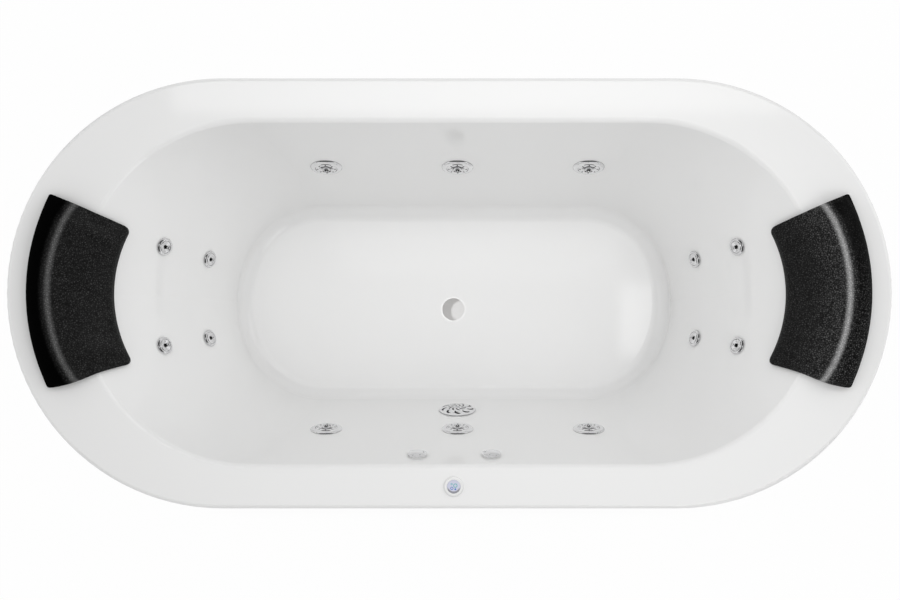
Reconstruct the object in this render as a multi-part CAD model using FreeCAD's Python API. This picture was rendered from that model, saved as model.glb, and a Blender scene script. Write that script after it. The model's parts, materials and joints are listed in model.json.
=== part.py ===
import FreeCAD, Part

import math
import os

# A drop-in oval jetted bathtub. +X runs along the bath, +Y across it, +Z up from the floor.
# The origin is on the floor under the middle of the rim. All sizes are in millimetres.

# ---- shell: rim, deck and basin ----
bath_length = 1790.0
bath_width = 870.0
floor_clearance = 123.0
shell_thickness = 7.0
lip_thickness = 6.0
lip_drop = 40.0
rim_roundover = 8.0
opening_roundover = 12.0
deck_end_width = 146.0
deck_side_width = 88.0
basin_depth = 430.0
side_draft = 17.2
floor_fillet = 38.0
# the end of the basin: how far in from the opening's end, and how much shorter the straight side is
shoulder_depth = 120.0
shoulder_run = 131.0
shoulder_ease = 32.0
back_depth = 230.0
back_run = 210.0
back_ease = 62.0
floor_run = 253.0
floor_ease = 102.0
waste_radius = 26.0
waste_x = -2.0
waste_y = -15.0

# ---- places of the fittings ----
fittings_x = 9.0
main_jet_middle_x = 12.0
main_jet_end_inset = 119.0
main_jet_depth = 207.0
upper_mini_depth = 122.0
upper_mini_y = 104.0
lower_mini_depth = 232.0
lower_mini_y = 86.0
suction_depth = 328.0
air_knob_depth = 53.0
air_knob_pitch = 152.0
button_edge_distance = 45.0

# ---- fits ----
running_clearance = 0.07
thread_clearance = 0.15
slip_clearance = 0.2
seat_gap = 0.3
face_clearance = 0.4
gasket_clearance = 0.3
hole_clearance = 0.6
jet_hole_clearance = 1.0

# ---- main jets ----
jet_flange_radius = 34.0
jet_flange_height = 4.5
jet_sleeve_radius = 20.0
jet_sleeve_wall = 2.6
jet_sleeve_length = 36.0
jet_face_radius = 23.2
jet_face_height = 3.0
jet_recess_height = 2.0
jet_barrel_length = 26.0
jet_ball_radius = 12.0
jet_ball_set_back = 7.0
jet_tube_radius = 8.0
jet_bore_radius = 5.3
jet_tube_proud = 2.6
jet_seat_mouth = 6.0
jet_seat_foot = 8.0
jet_ball_tail = 8.4
jet_dish_radius = 15.5
jet_notches = 8
jet_notch_inner = 16.8
jet_notch_outer = 20.8
jet_notch_width = 3.0
jet_notch_depth = 1.8
jet_gasket_thickness = 2.5
jet_gasket_radius = 30.0
jet_nut_width = 60.0
jet_nut_height = 10.0
jet_body_radius = 25.0
jet_chamber_radius = 17.0
jet_body_wall = 4.0

# ---- mini jets ----
mini_flange_radius = 18.5
mini_flange_height = 5.5
mini_sleeve_radius = 11.0
mini_sleeve_wall = 2.4
mini_sleeve_length = 27.0
mini_face_radius = 13.0
mini_face_height = 3.0
mini_barrel_length = 16.0
mini_outlet_radius = 4.0
mini_pip_radius = 1.4
mini_pip_offset = 9.0
mini_gasket_thickness = 1.3
mini_gasket_radius = 17.0
mini_nut_width = 32.0
mini_nut_height = 8.0
mini_body_radius = 14.5
mini_body_length = 34.0
mini_port_set_back = 35.0

# ---- suction ----
suction_flange_radius = 38.0
suction_flange_height = 2.5
suction_arm_depth = 6.0
suction_sleeve_radius = 27.0
suction_sleeve_wall = 3.0
suction_sleeve_length = 44.0
grille_rise = 6.0
grille_wall = 2.0
grille_skirt = 2.2
grille_slots = 9
grille_rings = 2
# the inner ring of swirling slots, and what each ring further out adds
slot_start = 9.0
slot_ring_pitch = 14.5
slot_reach = 11.0
slot_lean = 30.0
slot_lean_step = -8.0
slot_width = 3.2
slot_width_step = 1.6
slot_bow = 0.9
suction_nut_width = 76.0
screw_radius = 2.5
screw_head_radius = 5.0
screw_head_height = 1.5
elbow_wall = 6.0

# ---- air controls ----
air_flange_radius = 18.0
air_flange_height = 2.0
air_sleeve_radius = 14.0
air_sleeve_wall = 3.0
air_sleeve_length = 52.0
knob_radius = 19.5
knob_height = 7.0
knob_skirt_height = 3.0
knob_wall = 2.5
knob_stem_length = 22.0
knob_hole_radius = 1.6
knob_hole_offset = 13.0
air_nut_width = 38.0

# ---- button ----
bezel_radius = 20.0
bezel_height = 6.0
button_radius = 13.6
button_travel = 3.0
button_thickness = 2.2
button_guide_radius = 10.0
button_sleeve_radius = 14.0
button_sleeve_length = 38.0
switch_radius = 17.0
switch_length = 24.0
button_nut_width = 40.0

# ---- water and air lines ----
water_pipe_radius = 16.0
water_pipe_wall = 2.0
water_hub_wall = 5.0
water_set_back = 58.0
air_pipe_radius = 10.0
air_pipe_wall = 1.5
air_hub_wall = 4.0
air_set_back = 40.0
air_line_rise = 37.0
socket_depth = 20.0
manifold_end_inset = 280.0
air_cross_end_inset = 205.0
barb_radius = 6.5
barb_bore = 4.5
barb_length = 12.0
hose_start = 6.5
hose_wall = 2.9
suction_pipe_radius = 25.0
suction_pipe_wall = 2.4
suction_bend_radius = 75.0

# ---- pump ----
discharge_y = -160.0
volute_start_radius = 58.0
volute_step = 5.0
volute_depth = 56.0
volute_wall = 8.0
port_neck_length = 22.0
neck_gap = 3.0
port_neck_radius = 30.0
discharge_radius = 20.0
discharge_wall = 2.4
impeller_radius = 45.0
impeller_vanes = 6
shaft_radius = 8.0
motor_radius = 58.0
motor_length = 180.0
motor_fins = 20
fin_height = 6.0
fan_radius = 50.0
fan_blades = 7
cowl_length = 60.0
cowl_wall = 2.5
motor_foot_thickness = 12.0
motor_foot_half_width = 62.0
terminal_width = 70.0
terminal_height = 32.0
terminal_length = 80.0

# ---- cradle, board and feet ----
board_thickness = 18.0
board_margin = 40.0
tube_size = 30.0
tube_wall = 2.0
post_size = 25.0
rail_y = 150.0
rail_end_inset = 80.0
frame_x = 430.0
post_lip_gap = 31.0
batten_width = 40.0
batten_height = 25.0
batten_length = 880.0
end_batten_length = 380.0
button_batten_gap = 96.0
tray_thickness = 3.0
foot_radius = 25.0
foot_pad_height = 12.0
stud_radius = 6.0
boss_radius = 12.0
boss_height = 9.0
lock_nut_width = 22.0
lock_nut_height = 8.0
foot_inset = 40.0
foot_raise = 10.0

# ---- headrests ----
pad_half_angle = 27.0
pad_outer_reach = 102.0
pad_inner_reach = 61.0
pad_ridge_height = 46.0
pad_rim_height = 38.0
pad_slope_height = 30.0
pad_ridge_set_back = 64.0
pad_deck_gap = 0.5
pad_rim_radius = 16.0
pad_ridge_radius = 40.0
pad_front_radius = 11.0
pad_front_set_back = 8.0
# how far the blank runs below the deck before the shell is cut from it
pad_rim_overlap = 14.0
pad_foot_overlap = 16.0
pad_foot_reach = 12.0
# slices from the middle out: part of the half angle, part of the full height, pull-in of the outline
pad_slices = [(0.0, 1.0, 0.0), (0.5, 0.98, 4.0), (0.88, 0.86, 13.0), (1.0, 0.55, 18.0)]
pad_front_pull = 0.3
cup_radius = 16.0
cup_height = 9.0
cup_angle = 14.0
cup_edge_distance = 34.0
cup_stem_radius = 5.0

UP = FreeCAD.Vector(0, 0, 1)
ORIGIN = FreeCAD.Vector(0, 0, 0)

half_length = bath_length / 2
half_width = bath_width / 2
rim_height = floor_clearance + shell_thickness + basin_depth
opening_reach = half_length - deck_end_width
opening_half_width = half_width - deck_side_width
opening_straight = opening_reach - opening_half_width
draft_sine = math.sin(math.radians(side_draft))
draft_cosine = math.cos(math.radians(side_draft))
deck_underside = rim_height - shell_thickness
rail_top = floor_clearance - board_thickness
rail_bottom = rail_top - tube_size
water_hub_radius = water_pipe_radius + water_hub_wall
air_hub_radius = air_pipe_radius + air_hub_wall
main_jet_pitch = opening_straight - main_jet_end_inset
main_jet_x = [main_jet_middle_x + step * main_jet_pitch for step in (-1, 0, 1)]
manifold_x = half_length - manifold_end_inset
air_cross_x = half_length - air_cross_end_inset


# ================= general helpers =================

def vec(x, y, z):
    return FreeCAD.Vector(x, y, z)


def rod(radius, low, high):
    """A solid cylinder on the local Z axis between two heights."""
    return Part.makeCylinder(radius, high - low, vec(0, 0, low))


def ring(outer, inner, low, high):
    return rod(outer, low, high).cut(rod(inner, low, high))


def rod_between(radius, start, end):
    return Part.makeCylinder(radius, (end - start).Length, start, end - start)


def tube_between(outer, inner, start, end):
    return rod_between(outer, start, end).cut(rod_between(inner, start, end))


def block(x_low, x_high, y_low, y_high, z_low, z_high):
    return Part.makeBox(x_high - x_low, y_high - y_low, z_high - z_low, vec(x_low, y_low, z_low))


def turned(profile):
    """A solid of revolution about local Z. Each corner is (radius, height), or
    (radius, height, middle radius, middle height) where an arc leads to it."""
    edges = []
    start = vec(profile[0][0], 0, profile[0][1])
    for corner in profile[1:] + [profile[0][:2]]:
        end = vec(corner[0], 0, corner[1])
        if len(corner) == 4:
            edges.append(Part.Arc(start, vec(corner[2], 0, corner[3]), end).toShape())
        elif (end - start).Length > 1e-6:
            edges.append(Part.LineSegment(start, end).toShape())
        start = end
    return Part.Face(Part.Wire(edges)).revolve(ORIGIN, UP, 360)


def hexagon(width, bore, low, high):
    """A hexagonal nut on the local Z axis, measured across its flats."""
    corner = width / 2 / math.cos(math.pi / 6)
    points = [vec(corner * math.cos(k * math.pi / 3), corner * math.sin(k * math.pi / 3), low)
              for k in range(7)]
    body = Part.Face(Part.makePolygon(points)).extrude(vec(0, 0, high - low))
    return body.cut(rod(bore, low, high))


def frame_at(point, inward, up=UP):
    """A placement whose Z axis is the inward direction and whose Y axis climbs the wall."""
    climb = up - inward * up.dot(inward)
    climb.normalize()
    side = climb.cross(inward)
    return FreeCAD.Placement(FreeCAD.Matrix(
        side.x, climb.x, inward.x, point.x,
        side.y, climb.y, inward.y, point.y,
        side.z, climb.z, inward.z, point.z,
        0, 0, 0, 1))


def placed(shape, frame):
    moved = shape.copy()
    moved.Placement = frame.multiply(shape.Placement)
    return moved


def polar(shape, count):
    """Copies of a shape turned evenly about the local Z axis."""
    copies = []
    for k in range(count):
        turned_copy = shape.copy()
        turned_copy.rotate(ORIGIN, UP, 360.0 * k / count)
        copies.append(turned_copy)
    return copies


def save(name, *shapes):
    """Write one sub-part, as one solid or as a group of separate solids."""
    solids = [solid for shape in shapes for solid in shape.Solids]
    for solid in solids:
        if not solid.isValid() or solid.Volume <= 0:
            print("bad solid in", name)
    group = solids[0] if len(solids) == 1 else Part.makeCompound(solids)
    group.exportStep("parts/" + name + ".step")


# ================= basin geometry =================

def wall_y(depth):
    """Half the width of the basin at a depth below the deck."""
    return opening_half_width - depth * math.tan(math.radians(side_draft))


def basin_stations():
    """Depth, half-length of the straight side, and reach of the end, from the deck to the floor."""
    return [
        (0.0, opening_straight, opening_reach),
        (shoulder_depth, opening_straight - shoulder_ease, opening_reach - shoulder_run),
        (back_depth, opening_straight - back_ease, opening_reach - back_run),
        (basin_depth, opening_straight - floor_ease, opening_reach - floor_run),
    ]


def end_slope_sine(index):
    """Sine of the end wall's slope from the horizontal at one of the stations."""
    stations = basin_stations()
    above = stations[max(index - 1, 0)]
    below = stations[min(index + 1, len(stations) - 1)]
    fall = below[0] - above[0]
    run = above[2] - below[2]
    return fall / math.hypot(fall, run)


def oval(straight, reach, half, z):
    """A closed outline: two straight sides joined by four quarter curves."""
    handle = 4.0 / 3.0 * (math.sqrt(2.0) - 1.0)
    end = reach - straight
    edges = []
    for sx, sy in ((1, 1), (1, -1), (-1, -1), (-1, 1)):
        side_point = vec(sx * straight, sy * half, z)
        tip = vec(sx * reach, 0, z)
        side_pull = vec(sx * (straight + handle * end), sy * half, z)
        tip_pull = vec(sx * reach, sy * handle * half, z)
        poles = [side_point, side_pull, tip_pull, tip]
        if sx * sy < 0:
            poles.reverse()
        quarter = Part.BezierCurve()
        quarter.setPoles(poles)
        edges.append(quarter.toShape())
        if sx == 1 and sy == -1:
            edges.append(Part.LineSegment(vec(straight, -half, z), vec(-straight, -half, z)).toShape())
        if sx == -1 and sy == 1:
            edges.append(Part.LineSegment(vec(-straight, half, z), vec(straight, half, z)).toShape())
    return Part.Wire(edges)


def basin_solid(grow, bottom_fillet):
    """The space of the basin, or the outside of its wall where grow is the wall's thickness."""
    wires = []
    for index, (depth, straight, reach) in enumerate(basin_stations()):
        side_grow = grow / draft_cosine
        end_grow = grow / end_slope_sine(index)
        deeper = grow if depth == basin_depth else 0.0
        half = wall_y(depth + deeper) + side_grow
        wires.append(oval(straight, reach + end_grow, half, rim_height - depth - deeper))
    solid = Part.makeLoft(wires, True, False)
    bottom = min(edge.BoundBox.ZMax for edge in solid.Edges)
    floor_edges = [edge for edge in solid.Edges if edge.BoundBox.ZMax < bottom + 0.01]
    return solid.makeFillet(bottom_fillet, floor_edges)


def stadium(radius, low, high):
    """The rim's outline, half-width radius, as a solid between two heights."""
    straight = half_length - half_width
    tip = straight + radius
    wire = Part.Wire([
        Part.LineSegment(vec(-straight, radius, low), vec(straight, radius, low)).toShape(),
        Part.Arc(vec(straight, radius, low), vec(tip, 0, low), vec(straight, -radius, low)).toShape(),
        Part.LineSegment(vec(straight, -radius, low), vec(-straight, -radius, low)).toShape(),
        Part.Arc(vec(-straight, -radius, low), vec(-tip, 0, low), vec(-straight, radius, low)).toShape(),
    ])
    return Part.Face(wire).extrude(vec(0, 0, high - low))


def side_frame(sign, x, depth):
    """On a long wall: the origin on its inner face, Z into the basin, Y up the wall."""
    return frame_at(vec(x, sign * wall_y(depth), rim_height - depth),
                    vec(0, -sign * draft_cosine, draft_sine))


def end_frame(basin, sign, y, depth):
    """On an end wall, where a level line across it meets its inner face."""
    z = rim_height - depth
    inside = Part.makeLine(vec(sign * bath_length, y, z), vec(0, y, z)).common(basin)
    point = max((v.Point for v in inside.Vertexes), key=lambda p: abs(p.x))
    for face in basin.Faces:
        u, v = face.Surface.parameter(point)
        on_surface = (face.Surface.value(u, v) - point).Length < 0.01
        if on_surface and face.isPartOfDomain(u, v):
            return frame_at(point, face.normalAt(u, v) * -1.0)
    raise RuntimeError("no end wall at this depth")


# ================= shell =================

def deck_edges(shell, around_opening):
    """The edges in the plane of the deck: round the opening, or along the rim's outline."""
    found = []
    for edge in shell.Edges:
        reach_y = max(abs(v.Point.y) for v in edge.Vertexes)
        inside = reach_y < opening_half_width + 1.0
        if edge.BoundBox.ZMin > rim_height - 0.01 and inside == around_opening:
            found.append(edge)
    return found


def make_shell(basin, hole_list):
    deck = stadium(half_width, deck_underside, rim_height)
    lip_low = rim_height - lip_drop
    lip = stadium(half_width, lip_low, rim_height).cut(
        stadium(half_width - lip_thickness, lip_low, rim_height))
    outside = basin_solid(shell_thickness, floor_fillet + shell_thickness)
    shell = deck.fuse([lip, outside]).removeSplitter().cut(basin)
    shell = shell.makeFillet(rim_roundover, deck_edges(shell, False))
    shell = shell.makeFillet(opening_roundover, deck_edges(shell, True))
    holes = []
    for frame, radius in hole_list:
        holes.append(placed(rod(radius, -3 * shell_thickness, 3 * shell_thickness), frame))
    waste = rod(waste_radius, floor_clearance - 1, floor_clearance + shell_thickness + 1)
    waste.translate(vec(waste_x, waste_y, 0))
    return shell.cut(holes + [waste])


def wall_gasket(outer, inner, low, high, frame, shell):
    """A soft ring that takes up the curve between a wall and a flat flange or nut."""
    soft = placed(ring(outer, inner, low, high), frame).cut(shell)
    return max(soft.Solids, key=lambda solid: solid.Volume)


# ================= main jets =================

def jet_flange():
    bore = jet_sleeve_radius - jet_sleeve_wall
    recess = jet_face_radius + face_clearance
    edge = jet_flange_radius
    top = jet_flange_height
    return turned([
        (bore, -jet_sleeve_length), (jet_sleeve_radius, -jet_sleeve_length), (jet_sleeve_radius, 0),
        (edge, 0), (edge, 1.2), (recess + 2.5, top, edge - 2.2, top * 0.72),
        (recess, top), (recess, jet_recess_height), (bore, jet_recess_height)])


def jet_ball_height(radius):
    """Height of the ball's surface above its centre, at a radius from the axis."""
    return math.sqrt(jet_ball_radius ** 2 - radius ** 2)


def jet_ring():
    """The turning face: a dished front with grip notches and a barrel that seats the ball."""
    barrel = jet_sleeve_radius - jet_sleeve_wall - running_clearance
    back = jet_recess_height + seat_gap
    front = back + jet_face_height
    centre = -jet_ball_set_back
    seat = jet_ball_radius + running_clearance
    seat_edge = math.sqrt(seat ** 2 - jet_seat_mouth ** 2)
    low_edge = math.sqrt(seat ** 2 - jet_seat_foot ** 2)
    face = turned([
        (low_edge, back - jet_barrel_length), (barrel, back - jet_barrel_length), (barrel, back),
        (jet_face_radius, back), (jet_face_radius, front - 1.2), (jet_face_radius - 1.2, front),
        (jet_dish_radius, front), (seat_edge, centre + jet_seat_mouth),
        (low_edge, centre - jet_seat_foot, seat, centre)])
    notch = block(jet_notch_inner, jet_notch_outer, -jet_notch_width / 2, jet_notch_width / 2,
                  front - jet_notch_depth, front + 1)
    return face.cut(polar(notch, jet_notches))


def jet_nozzle():
    """The ball and its outlet tube, bored through, on the ball's centre."""
    centre = -jet_ball_set_back
    tip = jet_recess_height + seat_gap + jet_face_height + jet_tube_proud
    tail_radius = jet_ball_height(jet_ball_tail)
    return turned([
        (jet_bore_radius, centre - jet_ball_tail), (tail_radius, centre - jet_ball_tail),
        (jet_tube_radius, centre + jet_ball_height(jet_tube_radius), jet_ball_radius, centre),
        (jet_tube_radius, tip - 0.8), (jet_tube_radius - 0.8, tip), (jet_bore_radius + 0.7, tip),
        (jet_bore_radius, tip - 1.6)])


def jet_stack():
    """Heights, outward from the wall, of the gasket's, nut's and body's outer faces."""
    gasket = -shell_thickness - jet_gasket_thickness
    nut = gasket - jet_nut_height
    body = -water_set_back - water_hub_radius - jet_body_wall
    return gasket, nut, body


def jet_body():
    """The body behind the wall, with a water tee and an air tee along the bath."""
    nut, end = jet_stack()[1:]
    socket_end = -jet_sleeve_length - 2.0
    half = water_hub_radius + socket_depth + 7.0
    air_half = air_hub_radius + 8.0
    along = vec(1, 0, 0)
    water = vec(-half, 0, -water_set_back)
    air = vec(-air_half, air_line_rise, -air_set_back)
    body = rod(jet_body_radius, end, nut)
    body = body.fuse([
        Part.makeCylinder(water_hub_radius, 2 * half, water, along),
        Part.makeCylinder(air_hub_radius, 2 * air_half, air, along)])
    return body.cut([
        rod(jet_sleeve_radius + thread_clearance, socket_end, nut),
        rod(jet_chamber_radius, end + jet_body_wall, socket_end),
        Part.makeCylinder(water_pipe_radius + slip_clearance, 2 * half, water, along),
        Part.makeCylinder(air_pipe_radius + slip_clearance, 2 * air_half, air, along)])


# ================= mini jets =================

def mini_flange():
    bore = mini_sleeve_radius - mini_sleeve_wall
    recess = mini_face_radius + face_clearance
    low = mini_gasket_thickness
    top = mini_flange_height
    edge = mini_flange_radius
    return turned([
        (bore, -mini_sleeve_length), (mini_sleeve_radius, -mini_sleeve_length),
        (mini_sleeve_radius, low), (edge, low), (edge, low + 1.0),
        (recess + 1.6, top, edge - 1.2, top - 1.1), (recess, top), (recess, low + 1.5),
        (bore, low + 1.5)])


def mini_face():
    """The turning face: a shallow dish round the outlet, with a small thumb pip off its centre."""
    barrel = mini_sleeve_radius - mini_sleeve_wall - running_clearance
    back = mini_gasket_thickness + 1.5 + seat_gap
    front = back + mini_face_height
    outlet = mini_outlet_radius
    dish = turned([
        (outlet, back - mini_barrel_length), (barrel, back - mini_barrel_length), (barrel, back),
        (mini_face_radius, back), (mini_face_radius, front - 0.8), (mini_face_radius - 0.8, front),
        (outlet + 1.0, front - 1.4), (outlet, front - 2.2)])
    pip = Part.makeCylinder(mini_pip_radius, 2.0, vec(0, -mini_pip_offset, front - 1.6))
    return dish.fuse(pip)


def mini_stack():
    gasket = -shell_thickness - mini_gasket_thickness
    nut = gasket - mini_nut_height
    return gasket, nut, nut - mini_body_length


def mini_port(frame):
    """The point on a mini jet's axis that its hose barb springs from."""
    return frame.multVec(vec(0, 0, -mini_port_set_back))


def manifold_point(port):
    """The point on the end manifold's axis that feeds a mini jet."""
    return vec(math.copysign(manifold_x, port.x), port.y, water_line_height())


def mini_body(frame):
    nut, end = mini_stack()[1:]
    bore = mini_sleeve_radius - mini_sleeve_wall
    socket_end = -mini_sleeve_length - 1.0
    cup = rod(mini_body_radius, end, nut).cut([
        rod(mini_sleeve_radius + thread_clearance, socket_end, nut),
        rod(bore, end + mini_sleeve_wall, socket_end)])
    port = mini_port(frame)
    way = manifold_point(port) - port
    way.normalize()
    start = port + way * (bore + 1.0)
    tip = port + way * (mini_body_radius + 1.5 + barb_length)
    body = placed(cup, frame).fuse(rod_between(barb_radius, start, tip))
    return body.cut(rod_between(barb_bore, port, tip + way))


# ================= water line, air line and suction line =================

def line_point(sign, depth, rise, set_back):
    """(y, z) of a point behind a long wall, up the wall by rise and out from it by set_back."""
    frame = side_frame(sign, 0.0, depth)
    point = frame.multVec(vec(0, rise, -set_back))
    return point.y, point.z


def water_line_height():
    return line_point(1, main_jet_depth, 0, water_set_back)[1]


def elbow(outer, bore, leg):
    """A glued elbow: sockets along local Z and local Y, with a rounded heel."""
    corner = vec(0, 0, 0)
    body = Part.makeSphere(outer).fuse([rod(outer, 0, leg), rod_between(outer, corner, vec(0, leg, 0))])
    return body.cut([Part.makeSphere(bore), rod(bore, 0, leg + 1),
                     rod_between(bore, corner, vec(0, leg + 1, 0))])


def ring_main(xs, y, z, cross_x, outer, wall, hub, hub_leg):
    """Straight pipes between the jets, four elbows, and no end pipes."""
    leg = hub + socket_depth + 5.0
    entry = leg - socket_depth
    bend = elbow(hub, outer + slip_clearance, leg)
    solids = []
    for sy in (1, -1):
        stops = [-cross_x + entry]
        for x in xs:
            stops += [x - hub_leg, x + hub_leg]
        stops.append(cross_x - entry)
        for k in range(0, len(stops), 2):
            solids.append(tube_between(outer, outer - wall, vec(stops[k], sy * y, z),
                                       vec(stops[k + 1], sy * y, z)))
        for sx in (1, -1):
            corner = frame_at(vec(sx * cross_x, sy * y, z), vec(-sx, 0, 0), vec(0, -sy, 0))
            solids.append(placed(bend, corner))
    return solids, entry


def water_parts(mini_frames):
    y, z = line_point(1, main_jet_depth, 0, water_set_back)
    hub_leg = water_hub_radius + 7.0
    solids, entry = ring_main(main_jet_x, y, z, manifold_x, water_pipe_radius, water_pipe_wall,
                              water_hub_radius, hub_leg)
    for sx in (1, -1):
        low, high = vec(sx * manifold_x, -y + entry, z), vec(sx * manifold_x, y - entry, z)
        outside = [rod_between(water_pipe_radius, low, high)]
        hollow = [rod_between(water_pipe_radius - water_pipe_wall, low, high)]
        for frame in mini_frames:
            port = mini_port(frame)
            if port.x * sx > 0:
                start = manifold_point(port)
                way = port - start
                way.normalize()
                tip = start + way * (water_pipe_radius + 1.5 + barb_length)
                outside.append(rod_between(barb_radius, start, tip))
                hollow.append(rod_between(barb_bore, start, tip + way))
        if sx == -1:
            middle = vec(-manifold_x, discharge_y, z)
            drop = vec(0, 0, -1)
            half = vec(0, discharge_socket_radius() + 4, 0)
            outside.append(rod_between(water_hub_radius, middle - half, middle + half))
            outside.append(rod_between(discharge_socket_radius(), middle,
                                       middle + drop * discharge_drop()))
            hollow.append(rod_between(discharge_radius + slip_clearance, middle,
                                      middle + drop * (discharge_drop() + 1)))
        manifold = outside[0].fuse(outside[1:]).cut(hollow)
        solids.append(manifold)
    return solids


def discharge_socket_radius():
    return discharge_radius + 4.5


def discharge_drop():
    """How far the discharge socket hangs below the manifold's axis."""
    return water_hub_radius + socket_depth


def branch_hoses(mini_frames):
    """Short hoses pushed over the barbs of each mini jet and of its manifold."""
    hoses = []
    for frame in mini_frames:
        port = mini_port(frame)
        start = manifold_point(port)
        way = port - start
        way.normalize()
        low = start + way * (water_pipe_radius + hose_start / 2)
        high = port - way * (mini_body_radius + hose_start)
        hoses.append(tube_between(barb_radius + hose_wall, barb_radius + 0.1, low, high))
    return hoses


def drop_frames():
    return [side_frame(-1, fittings_x + s * air_knob_pitch / 2, air_knob_depth) for s in (-1, 1)]


def air_parts():
    y, z = line_point(1, main_jet_depth, air_line_rise, air_set_back)
    hub_leg = air_hub_radius - 10.0
    tees = [frame.Base.x for frame in drop_frames()]
    solids, entry = ring_main(main_jet_x, y, z, air_cross_x, air_pipe_radius, air_pipe_wall,
                              air_hub_radius, hub_leg)
    # the line below the air controls is cut for their tees
    tee_leg = air_pipe_radius + 1.0
    kept = []
    for solid in solids:
        box = solid.BoundBox
        crossed = [x for x in tees if box.XMin < x < box.XMax and box.YMax < 0]
        if not crossed:
            kept.append(solid)
        for x in crossed:
            kept.append(tube_between(air_pipe_radius, air_pipe_radius - air_pipe_wall,
                                     vec(box.XMin, -y, z), vec(x - tee_leg, -y, z)))
            kept.append(tube_between(air_pipe_radius, air_pipe_radius - air_pipe_wall,
                                     vec(x + tee_leg, -y, z), vec(box.XMax, -y, z)))
    for sx in (1, -1):
        kept.append(tube_between(air_pipe_radius, air_pipe_radius - air_pipe_wall,
                                 vec(sx * air_cross_x, -y + entry, z),
                                 vec(sx * air_cross_x, y - entry, z)))
    half = tee_leg + socket_depth
    bore = air_pipe_radius + slip_clearance
    for frame in drop_frames():
        climb = frame.Rotation.multVec(vec(0, 1, 0))
        middle = vec(frame.Base.x, -y, z)
        low, high = middle - vec(half, 0, 0), middle + vec(half, 0, 0)
        top = middle + climb * half
        tee = rod_between(air_hub_radius, low, high).fuse(rod_between(air_hub_radius, middle, top))
        kept.append(tee.cut([rod_between(bore, low, high),
                             rod_between(bore, middle, top + climb)]))
        outlet = frame.multVec(vec(0, -air_sleeve_radius - 4.0, -air_set_back))
        kept.append(tube_between(air_pipe_radius, air_pipe_radius - air_pipe_wall,
                                 middle + climb * tee_leg, outlet))
    return kept


def suction_frame():
    return side_frame(-1, fittings_x, suction_depth)


def pump_axis():
    """(x, z) of the pump's shaft: level with the suction pipe, set so its outlet is under the manifold."""
    z = line_point(-1, suction_depth, 0, water_set_back)[1]
    return -manifold_x - discharge_offset(), z


def discharge_offset():
    """How far the casing's upright outlet stands beside the shaft."""
    return volute_start_radius + volute_step / 2


def suction_parts():
    """Elbow behind the wall, straight pipe, swept bend and the union at the pump."""
    frame = suction_frame()
    along = vec(-1, 0, 0)
    y, z = line_point(-1, suction_depth, 0, water_set_back)
    pump_x = pump_axis()[0]
    corner = vec(fittings_x, y, z)
    outward = frame.Rotation.multVec(vec(0, 0, 1)) * -1.0
    nut = suction_stack()[1]
    outer = suction_sleeve_radius + elbow_wall
    bore = suction_pipe_radius + slip_clearance
    leg = outer + socket_depth + 16.0
    mouth = frame.multVec(vec(0, 0, nut))
    body = Part.makeSphere(outer, corner).fuse([
        rod_between(outer, mouth, corner),
        rod_between(suction_pipe_radius + elbow_wall, corner, corner + along * leg)])
    sleeve_end = frame.multVec(vec(0, 0, -suction_sleeve_length - 1.0))
    elbow_solid = body.cut([
        rod_between(suction_sleeve_radius + thread_clearance, mouth, sleeve_end),
        rod_between(suction_sleeve_radius - suction_sleeve_wall, mouth, corner),
        Part.makeSphere(bore, corner),
        rod_between(bore, corner, corner + along * (leg + 1))])
    start = corner + along * (leg - socket_depth)
    bend_start = vec(pump_x + suction_bend_radius, y, z)
    bend_end = vec(pump_x, y + suction_bend_radius, z)
    pipe = tube_between(suction_pipe_radius, suction_pipe_radius - suction_pipe_wall, start, bend_start)
    port_y = pump_mount_y() - volute_depth - port_neck_length
    slant = suction_bend_radius * (1 - math.sqrt(0.5))
    path = Part.Wire([
        Part.Arc(bend_start, vec(pump_x + slant, y + slant, z), bend_end).toShape(),
        Part.LineSegment(bend_end, vec(pump_x, port_y, z)).toShape()])
    sweeps = []
    for radius in (suction_pipe_radius, suction_pipe_radius - suction_pipe_wall):
        circle = Part.Wire([Part.makeCircle(radius, bend_start, along)])
        sweeps.append(path.makePipeShell([circle], True, False))
    bend = sweeps[0].cut(sweeps[1])
    neck_frame = pump_frame()
    union_low = volute_depth + 8.0
    union = placed(hexagon(2 * port_neck_radius + 12.0, port_neck_radius + slip_clearance, union_low,
                           volute_depth + port_neck_length), neck_frame)
    collar = placed(hexagon(2 * port_neck_radius + 12.0, suction_pipe_radius + slip_clearance,
                            volute_depth + port_neck_length,
                            volute_depth + port_neck_length + 4.0), neck_frame)
    return [elbow_solid, pipe, bend, union.fuse(collar).removeSplitter()]


# ================= suction fitting =================

def suction_stack():
    """Heights, outward from the wall, of the gasket's and nut's outer faces."""
    gasket = -shell_thickness - jet_gasket_thickness
    return gasket, gasket - jet_nut_height


def suction_body():
    """Flanged sleeve with three arms that carry the boss for the grille's screw."""
    bore = suction_sleeve_radius - suction_sleeve_wall
    top = suction_flange_height
    boss_top = top + grille_rise - grille_wall - seat_gap
    flange = turned([
        (bore, -suction_sleeve_length), (suction_sleeve_radius, -suction_sleeve_length),
        (suction_sleeve_radius, 0), (suction_flange_radius, 0), (suction_flange_radius, top),
        (bore, top)])
    low = -suction_arm_depth
    arm = block(4.0, bore + 1.0, -1.6, 1.6, low, top)
    boss = rod(screw_radius + 3.5, low, boss_top)
    return flange.fuse(polar(arm, 3) + [boss]).cut(rod(screw_radius + 0.1, low - 1, boss_top + 1))


def dome_height(radius, crown, rim_radius, rise):
    """Height over the flange of a dome of the given rise, at a radius from its axis."""
    sphere = (rim_radius ** 2 + rise ** 2) / (2 * rise)
    return crown - sphere + math.sqrt(sphere ** 2 - radius ** 2)


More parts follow.
